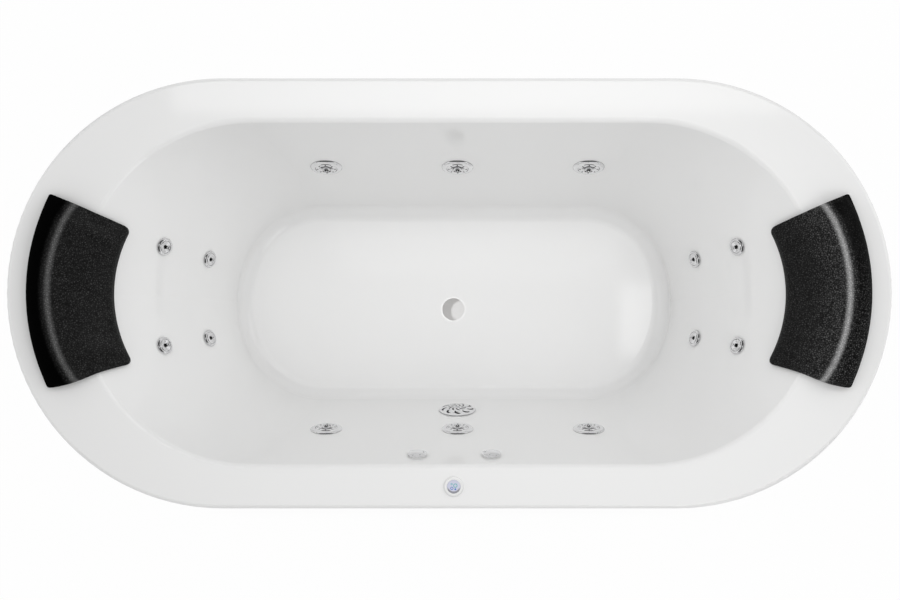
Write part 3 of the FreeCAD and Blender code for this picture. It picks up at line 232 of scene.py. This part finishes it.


def acrylic_finish():
    """Gloss white acrylic on the bathing side; rolled glass fibre and resin on the back."""
    f = Finish("gloss_acrylic", IOR=1.49)
    place = f.place()
    back = f.smooth_step(f.facing()[2], -0.04, -0.12)
    strands = f.noise(f.stretched(place, 1.0, 1.0, 3.0), scale=55.0, detail=6.0, roughness=0.7)
    chopped = f.cell_edges(f.stretched(place, 1.0, 2.4, 1.0), 90.0)
    lumps = f.noise(place, scale=9.0, detail=2.0)
    resin, fibre, overlap = rgb(0.50, 0.47, 0.37), rgb(0.74, 0.72, 0.62), rgb(0.60, 0.58, 0.50)
    glass = f.blend(strands, resin, fibre)
    glass = f.blend(f.smooth_step(chopped, 0.0, 0.10), overlap, glass)
    cast = f.noise(place, scale=2.2, detail=1.0)
    white = f.blend(cast, rgb(0.885, 0.885, 0.880), rgb(0.905, 0.905, 0.903))
    f.set("Base Color", f.blend(back, white, glass))
    gloss = 0.055 + 0.03 * f.noise(place, scale=6.0, detail=2.0)
    matt = 0.42 + 0.2 * strands
    f.set("Roughness", gloss + back * (matt - gloss))
    waviness = 0.10 * f.noise(place, scale=5.0, detail=1.0)
    rough_back = 0.6 * strands + 0.8 * lumps
    return f.relief(waviness + back * rough_back, depth=0.0016)


def chrome_finish(name, colour, low, high):
    """Plated metal with a faint polishing haze, duller in grooves, where painted shade darkens it.
    """
    f = Finish(name, Metallic=1.0)
    place = f.place()
    haze = f.noise(place, scale=90.0, detail=4.0, roughness=0.6)
    broad = f.noise(place, scale=14.0, detail=2.0)
    # painted shade: ambient occlusion darkens the base colour in grooves, bores and joints between
    # parts, which are made rougher too
    openness = f.add("ShaderNodeAmbientOcclusion", {"samples": 8},
                     {"Distance": GROOVE_SHADE_REACH}, "AO")
    painted_groove_shade = f.smooth_step(openness, 0.72, 0.30)
    plated = f.blend(broad, dimmed(colour, 0.94), colour)
    f.set("Base Color", f.blend(painted_groove_shade, plated, grey(0.02)))
    f.set("Roughness", low + (high - low) * haze + 0.3 * painted_groove_shade)
    return f.relief(haze, depth=0.00002, strength=0.4)


def pad_finish():
    """Black self-skinned foam with leather grain; painted shade darkens the outer slope, and a
    painted highlight and more gloss lie on the ridge.
    """
    f = Finish("grained_black_skin", Specular_IOR_Level=0.0, Coat_IOR=1.5, Coat_Roughness=0.36)
    place = f.place()
    x, y, z = f.parts(place)
    warp = f.add("ShaderNodeTexNoise", None, {"Vector": place, "Scale": 120.0}, "Color")
    shift = f.add("ShaderNodeVectorMath", {"operation": "SCALE"}, {0: warp, "Scale": 0.004})
    warped = f.add("ShaderNodeVectorMath", {"operation": "ADD"}, {0: place, 1: shift})
    creases = f.smooth_step(f.cell_edges(warped, 240.0), 0.0, 0.30)
    pores = f.noise(place, scale=420.0, detail=2.0)
    mottle = f.noise(place, scale=26.0, detail=4.0)
    grain = creases * f.smooth_step(pores, 0.30, 0.70)

    # how far outside the ridge a point lies; the ridge bends a little more than the round end
    past_curve = x.size() - END_CURVE_X
    from_middle = (past_curve * past_curve + y * y).root()
    from_ridge = from_middle - (PAD_RIDGE - 0.25 * y * y)
    outer_slope = f.smooth_step(from_ridge, 0.006, 0.022)
    ridge = f.smooth_step(from_ridge.size(), 0.010, 0.0)
    near_ridge = f.smooth_step(from_ridge, -0.085, -0.010)

    # painted light: the pad at the +X end is painted lighter, most of all towards its -Y end
    plus_x_pad = f.smooth_step(x, -0.2, 0.2)
    towards_lower_end = f.smooth_step(y, 0.15, -0.13)
    pit, skin_low, skin_high = grey(0.004), grey(0.042), grey(0.056)
    skin = f.blend(grain, pit, f.blend(mottle, skin_low, skin_high))
    # painted light: the face near the ridge of the +X pad is painted lighter
    skin = f.blend(near_ridge * plus_x_pad * grain * 0.8, skin, grey(0.130))
    # painted shade: the outer slope is painted nearly black, less so on the +X pad towards its -Y
    # end, where painted light takes its place
    painted_rim_light = plus_x_pad * (0.15 + 0.80 * towards_lower_end) * (0.3 + 0.7 * grain)
    skin = f.blend(outer_slope * (0.97 - painted_rim_light), skin, grey(0.0006))
    # painted highlight: a light grey streak along the ridge, stronger on the +X pad
    painted_ridge_highlight = ridge * (0.22 + 0.68 * plus_x_pad) * (0.45 + 0.55 * grain)
    f.set("Base Color", f.blend(painted_ridge_highlight, skin, grey(0.60)))
    gloss = 0.20 * (1.0 - 0.93 * outer_slope)
    f.set("Coat Weight", gloss + 0.20 * ridge + 0.10 * near_ridge * plus_x_pad)
    f.set("Roughness", 0.55 + 0.10 * pores)
    return f.relief(0.7 * creases + 0.3 * pores, depth=0.00045, strength=0.9)


def moulded_finish(name, colour, roughness, grain=260.0, depth=0.00006):
    """Moulded plastic: a faint sparkle of texture and a broad change of tone."""
    f = Finish(name)
    place = f.place()
    broad = f.noise(place, scale=8.0, detail=3.0)
    fine = f.noise(place, scale=grain, detail=3.0, roughness=0.6)
    f.set("Base Color", f.blend(f.smooth_step(broad, 0.30, 0.70), dimmed(colour, 0.90), colour))
    f.set("Roughness", roughness - 0.06 + 0.12 * fine)
    return f.relief(fine, depth, strength=0.6)


def rubber_finish():
    """Black rubber with a grey bloom."""
    f = Finish("black_rubber")
    place = f.place()
    bloom = f.smooth_step(f.noise(place, scale=40.0, detail=5.0, roughness=0.6), 0.35, 0.8)
    f.set("Base Color", f.blend(bloom, grey(0.018), grey(0.042)))
    f.set("Roughness", 0.62 + 0.2 * bloom)
    return f.relief(f.noise(place, scale=700.0, detail=3.0), depth=0.0001, strength=0.5)


def hose_finish():
    """Soft reinforced hose: a criss-cross braid below a milky skin."""
    f = Finish("braided_hose")
    x, y, z = f.parts(f.place())
    threads_per_metre = 900.0
    over = ((x + y + z) * threads_per_metre).wave().size()
    under = ((x - y - z) * threads_per_metre).wave().size()
    braid = f.smooth_step(over.least(under), 0.0, 0.35)
    f.set("Base Color", f.blend(braid, rgb(0.50, 0.56, 0.58), rgb(0.74, 0.78, 0.78)))
    f.set("Roughness", 0.30 + 0.12 * braid)
    return f.relief(braid, depth=0.0002, strength=0.5)


def enamel_finish():
    """Grey enamel on cast aluminium, with dust on what faces up."""
    f = Finish("grey_enamel")
    place = f.place()
    peel = f.noise(place, scale=420.0, detail=2.0)
    cast = f.noise(place, scale=60.0, detail=4.0, roughness=0.6)
    dust = f.smooth_step(f.facing()[2], 0.5, 1.0) * f.noise(place, scale=30.0, detail=4.0)
    enamel = f.blend(cast, rgb(0.060, 0.075, 0.095), rgb(0.080, 0.098, 0.120))
    f.set("Base Color", f.blend(dust * 0.35, enamel, rgb(0.22, 0.22, 0.21)))
    f.set("Roughness", 0.30 + 0.18 * cast + 0.3 * dust)
    return f.relief(0.4 * peel + 0.6 * cast, depth=0.00018, strength=0.7)


def steel_finish():
    """Zinc-plated steel with its spangle and drawn lines."""
    f = Finish("zinc_plated_steel", Metallic=1.0)
    place = f.place()
    spangle = f.parts(f.cells(place, 70.0, output="Color"))[0]
    drawn = f.noise(f.stretched(place, 0.06, 1.0, 1.0), scale=900.0, detail=2.0)
    f.set("Base Color", f.blend(spangle, rgb(0.50, 0.51, 0.53), rgb(0.66, 0.67, 0.68)))
    f.set("Roughness", 0.24 + 0.12 * spangle + 0.10 * drawn)
    return f.relief(drawn, depth=0.00004, strength=0.5)


def chipboard_finish():
    """Pressed wood flakes under a thin coat of resin."""
    f = Finish("resin_coated_chipboard")
    flat = f.stretched(f.place(), 1.0, 1.8, 3.0)
    flakes_per_metre = 150.0
    tone, painted_ridge_highlight, lift = f.parts(f.cells(flat, flakes_per_metre, output="Color"))
    flake = f.smooth_step(f.cell_edges(flat, flakes_per_metre), 0.0, 0.08)
    wood = f.ramp(tone, (0.0, rgb(0.25, 0.155, 0.075)), (0.5, rgb(0.42, 0.29, 0.165)),
                  (1.0, rgb(0.60, 0.45, 0.28)))
    f.set("Base Color", f.blend(flake, rgb(0.16, 0.095, 0.045), wood))
    f.set("Roughness", 0.42 + 0.25 * painted_ridge_highlight)
    return f.relief(0.5 * flake + 0.5 * lift, depth=0.0004, strength=0.6)


def batten_finish():
    """Planed softwood: growth rings cut lengthwise, with knots."""
    f = Finish("planed_softwood")
    place = f.place()
    x, y, z = f.parts(place)
    wander = f.noise(f.stretched(place, 0.10, 1.0, 1.0), scale=30.0, detail=3.0)
    rings = ((y + z * 1.7) * 560.0 + wander * 26.0).wave() * 0.5 + 0.5
    fibres = f.noise(f.stretched(place, 0.05, 1.0, 1.0), scale=900.0, detail=3.0)
    knots = f.smooth_step(f.cells(f.stretched(place, 1.0, 1.6, 1.6), 5.0), 0.10, 0.03)
    wood = f.blend(rings, rgb(0.60, 0.40, 0.205), rgb(0.78, 0.60, 0.37))
    wood = f.blend(fibres * 0.4, wood, rgb(0.50, 0.32, 0.16))
    f.set("Base Color", f.blend(knots, wood, rgb(0.19, 0.095, 0.04)))
    f.set("Roughness", 0.50 + 0.15 * rings)
    return f.relief(0.5 * rings + 0.5 * fibres, depth=0.0003, strength=0.6)


def button_finish():
    """Pale cap with printed bubbles and painted shade as a grey crescent at its -Y edge, laid out in
    millimetres.
    """
    f = Finish("printed_button_cap_painted_shade")
    place = f.place()
    x, y, z = f.parts(place)
    low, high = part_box("control_button")
    across = (x - (low[0] + high[0]) / 2) * 1000.0
    upward = (y - (low[1] + high[1]) / 2) * 1000.0
    face = f.facing()[2] > 0.6
    soft_edge = 0.35

    def disc(right, up, radius):
        """1 inside a circle, by the place of its middle on the cap."""
        from_middle = ((across - right) * (across - right) + (upward - up) * (upward - up)).root()
        return f.smooth_step(from_middle, radius + soft_edge, radius - soft_edge)

    def bubble(right, up, radius, line):
        return disc(right, up, radius) * (1.0 - disc(right, up, radius - line))

    blue = bubble(-3.8, -3.3, radius=3.1, line=1.2).most(disc(3.3, -5.1, radius=1.8))
    teal = bubble(3.3, 2.2, radius=4.2, line=1.4).most(bubble(-4.2, 5.3, radius=2.0, line=1.0))
    # painted shade: a grey crescent at the cap's -Y edge stands for its shaded side
    from_centre = (across * across + (upward - 1.9) * (upward - 1.9)).root()
    painted_shade_crescent = f.smooth_step(from_centre, 10.9, 11.9) * f.smooth_step(upward, 0.0, -7.0)
    cap = f.blend(f.noise(place, scale=60.0), rgb(0.60, 0.62, 0.76), rgb(0.68, 0.69, 0.82))
    cap = f.blend(painted_shade_crescent * 0.8, cap, rgb(0.24, 0.24, 0.25))
    cap = f.blend(teal * face, cap, rgb(0.10, 0.47, 0.50))
    cap = f.blend(blue * face, cap, rgb(0.07, 0.19, 0.58))
    f.set("Base Color", cap)
    f.set("Roughness", 0.22 + 0.08 * f.noise(place, scale=300.0))
    return f.relief(blue.most(teal) * face, depth=0.00015, strength=0.5)


finishes = {
    "acrylic": acrylic_finish(),
    "chrome": chrome_finish("polished_chrome", rgb(0.86, 0.86, 0.87), low=0.05, high=0.14),
    "satin_chrome": chrome_finish("satin_chrome", rgb(0.84, 0.84, 0.85), low=0.16, high=0.28),
    "pad_foam": pad_finish(),
    "button_lens": button_finish(),
    "white_plastic": moulded_finish("white_moulding", rgb(0.93, 0.93, 0.925), roughness=0.24),
    "pipe_white": moulded_finish("pressure_pipe", rgb(0.80, 0.80, 0.77), roughness=0.34,
                                 grain=180.0, depth=0.0001),
    "body_grey": moulded_finish("grey_moulding", rgb(0.070, 0.073, 0.080), roughness=0.42),
    "clear_hose": hose_finish(),
    "seal_rubber": rubber_finish(),
    "pump_plastic": moulded_finish("glass_filled_plastic", rgb(0.016, 0.016, 0.018), roughness=0.46,
                                   grain=420.0, depth=0.00015),
    "motor_paint": enamel_finish(),
    "steel": steel_finish(),
    "chipboard": chipboard_finish(),
    "batten_wood": batten_finish(),
}

slot_of = {row["node"]: row["material_slot"] for row in frame["record"]["subparts"]}
for name, node in nodes.items():
    node.data.materials.clear()
    node.data.materials.append(finishes[slot_of[name]].material)


# ---------------------------------------------------------------- headrests

# A point of a pad is given by its reach from the middle of the round end and its angle there.
PAD_HALF_ANGLE = math.radians(27.4)
# change of that angle at the inner and the outer edge
UPPER_END_TAPER = (math.radians(0.7), math.radians(-0.9))
LOWER_END_TAPER = (math.radians(2.1), math.radians(-2.1))
LOWER_END_WAVE = 0.006       # radians that the -Y end swings in its slight S
PAD_INNER = OPENING_RADIUS - 0.0605
PAD_WIDTH = PAD_OUTER - PAD_INNER
INNER_CORNER = 0.013         # radii of the corners in plan
OUTER_CORNER = 0.005
INNER_EDGE_ROUND = 0.012     # radii of the top edges
OTHER_EDGE_ROUND = 0.011
RIDGE_HEIGHT = 0.047         # over the deck
OUTER_FALL = 0.022           # from the ridge to the outer edge
INNER_FALL = 0.068           # from the ridge to the inner edge
END_FALL = 0.006             # from the middle to the ends, and what the last quarter adds
END_EXTRA_FALL = 0.009
LEAST_THICKNESS = 0.012
PAD_GAP = 0.0012             # from the underside to the shell
PAD_ALONG = 88               # spaces along the pad
PAD_ACROSS = 46              # spaces across it
PAD_WALL_ROWS = 5
CUP_REACH = OPENING_RADIUS + 0.068
CUP_ANGLE = math.radians(14.0)
CUP_SOCKET = 0.0172          # radius of the hollow for a suction cup
CUP_SOCKET_DEPTH = 0.0100
PAD_PUFF = 0.004             # the furthest that the foam swells
SWELL_STEPS = 20
OUTER_MARGIN = 0.004         # within this of the furthest point of the outer edge,
OUTER_PUFF = 0.0015          # it swells outward by no more than this

shell_surface = BVHTree.FromObject(nodes["bath_shell"], bpy.context.evaluated_depsgraph_get())


def shell_top(x, y):
    """Height of the shell below a point of the right-hand pad."""
    hit = shell_surface.ray_cast(Vector((x, y, 1.0)), Vector((0, 0, -1)))[0]
    return hit.z


def eased(value):
    value = max(0.0, min(1.0, value))
    return value * value * (3 - 2 * value)


def rounded_off(distance, radius):
    """How far a rounded edge has fallen at this distance in from it."""
    if distance >= radius:
        return 0.0
    return radius - math.sqrt(max(0.0, radius * radius - (radius - distance) ** 2))


def crowded(steps):
    """Places from 0 to 1 that crowd towards both ends."""
    return [0.5 - 0.5 * math.cos(math.pi * k / steps) for k in range(steps + 1)]


def round_corner(end_distance, side_distance, radius):
    """Moves a point near a square corner so that the corner becomes round in plan."""
    a, b = radius - end_distance, radius - side_distance
    if a <= 0 or b <= 0:
        return end_distance, side_distance
    return (radius - a * math.sqrt(1 - b * b / (2 * radius * radius)),
            radius - b * math.sqrt(1 - a * a / (2 * radius * radius)))


def pad_point(along, across):
    """Reach and angle of a point in plan.

    along runs from -1 at the -Y end to 1, and across from 0 at the inner edge to 1.
    """
    reach = PAD_INNER + PAD_WIDTH * across
    length = 2 * PAD_HALF_ANGLE * reach
    from_end = (1 - abs(along)) * length / 2
    from_side = min(across, 1 - across) * PAD_WIDTH
    corner = INNER_CORNER if across < 0.5 else OUTER_CORNER
    from_end, from_side = round_corner(from_end, from_side, corner)
    reach = PAD_INNER + from_side if across < 0.5 else PAD_OUTER - from_side
    angle = math.copysign(PAD_HALF_ANGLE - from_end / reach, along)
    inner_change, outer_change = LOWER_END_TAPER if along < 0 else UPPER_END_TAPER
    angle *= 1 + (inner_change + (outer_change - inner_change) * across) / PAD_HALF_ANGLE
    if along < 0:
        angle += LOWER_END_WAVE * math.sin(2 * math.pi * across) * eased(-along * 4 - 3)
    return reach, angle


def pad_crown(reach, angle):
    """Height of the pad's upper face over the deck."""
    span = abs(angle) / PAD_HALF_ANGLE
    if reach > PAD_RIDGE:
        share = (reach - PAD_RIDGE) / (PAD_OUTER - PAD_RIDGE)
        height = RIDGE_HEIGHT - OUTER_FALL * share ** 1.7
    else:
        share = (PAD_RIDGE - reach) / (PAD_RIDGE - PAD_INNER)
        height = RIDGE_HEIGHT - INNER_FALL * (0.35 * share + 0.65 * share ** 1.55)
    return height - END_FALL * span ** 2 - END_EXTRA_FALL * eased(span * 4 - 3)


def build_pad():
    """The right-hand pad, closed: crowned top, side walls and an underside that fits the shell.

    The second result holds the numbers of the underside's points.
    """
    rows = [2 * place - 1 for place in crowded(PAD_ALONG)]
    columns = crowded(PAD_ACROSS)
    mesh = bmesh.new()
    top, bottom = [], []
    cups = [Vector((END_CURVE_X + CUP_REACH * math.cos(a), CUP_REACH * math.sin(a)))
            for a in (-CUP_ANGLE, CUP_ANGLE)]
    for along in rows:
        top_row, bottom_row = [], []
        for across in columns:
            reach, angle = pad_point(along, across)
            x = END_CURVE_X + reach * math.cos(angle)
            y = reach * math.sin(angle)
            length = 2 * PAD_HALF_ANGLE * reach
            edge = min((1 - abs(along)) * length / 2, (1 - across) * PAD_WIDTH)
            drop = max(rounded_off(edge, OTHER_EDGE_ROUND),
                       rounded_off(across * PAD_WIDTH, INNER_EDGE_ROUND))
            low = shell_top(x, y) + PAD_GAP
            high = max(RIM_HEIGHT + pad_crown(reach, angle) - drop, low + LEAST_THICKNESS)
            for cup in cups:
                if (Vector((x, y)) - cup).length < CUP_SOCKET:
                    low += CUP_SOCKET_DEPTH
            top_row.append(mesh.verts.new((x, y, high)))
            bottom_row.append(mesh.verts.new((x, y, low)))
        top.append(top_row)
        bottom.append(bottom_row)
    for i in range(PAD_ALONG):
        for j in range(PAD_ACROSS):
            mesh.faces.new((top[i][j], top[i + 1][j], top[i + 1][j + 1], top[i][j + 1]))
            mesh.faces.new((bottom[i][j], bottom[i][j + 1],
                            bottom[i + 1][j + 1], bottom[i + 1][j]))
    border = [(i, 0) for i in range(PAD_ALONG)]
    border += [(PAD_ALONG, j) for j in range(PAD_ACROSS)]
    border += [(i, PAD_ACROSS) for i in range(PAD_ALONG, 0, -1)]
    border += [(0, j) for j in range(PAD_ACROSS, 0, -1)]
    ring = []
    for i, j in border:
        high, low = top[i][j], bottom[i][j]
        column = [high]
        for row in range(1, PAD_WALL_ROWS):
            share = row / PAD_WALL_ROWS
            column.append(mesh.verts.new(high.co.lerp(low.co, share)))
        column.append(low)
        ring.append(column)
    for here, there in zip(ring, ring[1:] + ring[:1]):
        for row in range(PAD_WALL_ROWS):
            mesh.faces.new((here[row], here[row + 1], there[row + 1], there[row]))
    bmesh.ops.recalc_face_normals(mesh, faces=mesh.faces)
    data = bpy.data.meshes.new("headrest_pad")
    mesh.to_mesh(data)
    mesh.free()
    pad = bpy.data.objects.new("headrest_pad_right", data)
    bpy.context.scene.collection.objects.link(pad)
    underside = PAD_GAP + CUP_SOCKET_DEPTH + 0.0005
    return pad, {v.index for v in data.vertices
                 if v.co.z < shell_top(v.co.x, v.co.y) + underside}


def swell(pad, held):
    """Lets the foam swell in its skin, with the underside held, and keeps the result."""
    scene = bpy.context.scene
    start = [v.co.copy() for v in pad.data.vertices]
    group = pad.vertex_groups.new(name="held")
    group.add(sorted(held), 1.0, "REPLACE")
    cloth = pad.modifiers.new("skin", "CLOTH")
    skin = cloth.settings
    skin.quality = 6
    skin.mass = 0.4
    skin.tension_stiffness = 30.0
    skin.compression_stiffness = 30.0
    skin.shear_stiffness = 20.0
    skin.bending_stiffness = 6.0
    skin.use_pressure = True
    skin.uniform_pressure_force = 4.0
    skin.vertex_group_mass = "held"
    skin.effector_weights.gravity = 0.0
    cloth.collision_settings.use_collision = False
    cloth.point_cache.frame_start = 1
    cloth.point_cache.frame_end = SWELL_STEPS
    for step in range(1, SWELL_STEPS + 1):
        scene.frame_set(step)
    swollen = pad.evaluated_get(bpy.context.evaluated_depsgraph_get())
    ends = [v.co.copy() for v in swollen.data.vertices]
    pad.modifiers.remove(cloth)
    scene.frame_set(1)
    for vertex, before, after in zip(pad.data.vertices, start, ends):
        move = after - before
        if move.length > PAD_PUFF:
            move *= PAD_PUFF / move.length
        if before.x > END_CURVE_X + PAD_OUTER - OUTER_MARGIN:
            move.x = min(move.x, OUTER_PUFF)
        vertex.co = before + move
    pad.vertex_groups.clear()


def finish_pad(pad, side, body):
    pad.name = "headrest_pad_" + side
    pad.data.name = pad.name
    for polygon in pad.data.polygons:
        polygon.use_smooth = True
    smoother = pad.modifiers.new("smooth", "SUBSURF")
    smoother.levels = smoother.render_levels = 1
    pad.data.materials.append(finishes["pad_foam"].material)
    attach(pad, body)
    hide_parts("headrest_" + side)


pad_right, held_points = build_pad()
swell(pad_right, held_points)
pad_left = bpy.data.objects.new("headrest_pad_left", pad_right.data.copy())
bpy.context.scene.collection.objects.link(pad_left)
for vertex in pad_left.data.vertices:
    vertex.co.x = -vertex.co.x
pad_left.data.flip_normals()
finish_pad(pad_right, "right", "headrest_right")
finish_pad(pad_left, "left", "headrest_left")


# ---------------------------------------------------------------- floor, light and camera

FOOTPRINT_STRAIGHT = 0.46    # half the length of the rim's straight sides
DEEP_SHADE, OPEN_FLOOR = 0.26, 0.52  # where the shade is full and where it ends
FLOOR_HALF = 14.0
AMBIENT = 0.595              # the studio's level all round


def pale_floor():
    """White where it is seen, with shade below the bath; plain and pale for the light on it."""
    f = Finish("pale_floor", Base_Color=grey(0.80), Roughness=0.7)
    x, y, z = f.parts(f.place())
    past_straight = (x.size() - FOOTPRINT_STRAIGHT).most(0.0)
    from_axis = (past_straight * past_straight + y * y).root()
    open_floor = f.smooth_step(from_axis, DEEP_SHADE, OPEN_FLOOR)
    white = f.add("ShaderNodeEmission", None, {"Color": grey(1.0), "Strength": 1.0})
    share = f.seen_ray() * (0.36 + 0.62 * open_floor)
    f.show("Material Output", f.add("ShaderNodeMixShader", None,
                                    {0: share, 1: Signal(f, f.shader.outputs[0]), 2: white}))
    return f.material


floor_mesh = bpy.data.meshes.new("floor")
floor_mesh.from_pydata([(-FLOOR_HALF, -FLOOR_HALF, 0), (FLOOR_HALF, -FLOOR_HALF, 0),
                        (FLOOR_HALF, FLOOR_HALF, 0), (-FLOOR_HALF, FLOOR_HALF, 0)],
                       [], [(0, 1, 2, 3)])
floor = bpy.data.objects.new("floor", floor_mesh)
floor.location.z = -0.0005
floor_mesh.materials.append(pale_floor())
bpy.context.scene.collection.objects.link(floor)

world = bpy.data.worlds.new("studio")
bpy.context.scene.world = world
studio = NodeTree(world)
height = studio.parts(studio.add("ShaderNodeTexCoord", output="Generated"))[2]
# dark walls between the lit ceiling and the pale floor, which only reflections see
walls = studio.smooth_step(height, 0.30, 0.45) * studio.smooth_step(height, 0.985, 0.955)
wall_strength = 1.0 - 0.95 * walls * studio.ray("Glossy")
ambient = studio.add("ShaderNodeBackground", None, {"Color": grey(1.0), "Strength": AMBIENT})
backdrop = studio.add("ShaderNodeBackground", None,
                      {"Color": grey(1.0), "Strength": wall_strength})
studio.show("World Output", studio.add("ShaderNodeMixShader", None,
                                       {0: studio.seen_ray(), 1: ambient, 2: backdrop}))


def lamp(kind, name, position, target, power, **settings):
    """A light of this kind that looks at the target."""
    data = bpy.data.lights.new(name, kind)
    data.energy = power
    for setting, value in settings.items():
        setattr(data, setting, value)
    light = bpy.data.objects.new(name, data)
    light.location = position
    light.rotation_mode = "QUATERNION"
    light.rotation_quaternion = (Vector(target) - Vector(position)).to_track_quat("-Z", "Y")
    bpy.context.scene.collection.objects.link(light)
    return light


def softbox(name, position, target, width, length, power):
    return lamp("AREA", name, position, target, power,
                shape="RECTANGLE", size=width, size_y=length)


# Flags keep the large lights off the bright metal, as in a studio.
flagged = bpy.data.collections.new("flagged_from_softboxes")
for name in nodes:
    if "chrome" in slot_of[name]:
        flagged.objects.link(nodes[name])
for member in flagged.collection_objects:
    member.light_linking.link_state = "EXCLUDE"
large_softboxes = (
    softbox("top_strip", (0.1, 1.05, 2.76), (0.1, 0.4, 0.56), width=2.3, length=0.6, power=8.0),
    softbox("right_key", (2.4, 1.2, 2.6), (0.2, 0.0, 0.4), width=1.6, length=1.6, power=12.3),
    softbox("front_right", (1.2, -1.5, 2.6), (0.2, 0.1, 0.3), width=1.2, length=1.2, power=8.6),
    softbox("left_fill", (-2.2, 0.3, 2.6), (0.2, 0.0, 0.3), width=1.4, length=1.4, power=5.6))
for light in large_softboxes:
    light.light_linking.receiver_collection = flagged
# two panes of light overhead that the flat of the basin mirrors
softbox("wide_pane", (0.03, 0.43, 3.13), (0.03, 0.43, 0.0), width=1.23, length=0.36, power=0.85)
softbox("right_pane", (0.741, 0.063, 3.13), (0.741, 0.063, 0.0),
        width=0.186, length=0.316, power=0.52)
basin_light = lamp("SPOT", "basin_light", (0.15, 0.1, 3.3), (0.15, 0.1, 0.0), 21.0,
                   spot_size=math.radians(30), spot_blend=1.0, shadow_soft_size=0.35)
basin_light.visible_glossy = False
# a narrow beam into the waste hole, which leaves a crescent of shade in it
lamp("SPOT", "waste_beam", (-0.40, -0.03, 3.1), (-0.002, -0.015, 0.13), 200.0,
     spot_size=math.radians(0.98), spot_blend=0.08, shadow_soft_size=0.004)

camera_data = bpy.data.cameras.new("camera")
camera = bpy.data.objects.new("camera", camera_data)
bpy.context.scene.collection.objects.link(camera)
bpy.context.scene.camera = camera
camera.location = (0.082, -0.155, 3.560)
camera.rotation_euler = (0, 0, 0)
camera_data.sensor_width = 36.0
camera_data.lens = 59.46
camera_data.shift_x = -0.0444
camera_data.shift_y = 0.0778
camera_data.clip_start = 0.05
camera_data.clip_end = 60.0

bpy.context.scene.view_settings.view_transform = "Standard"
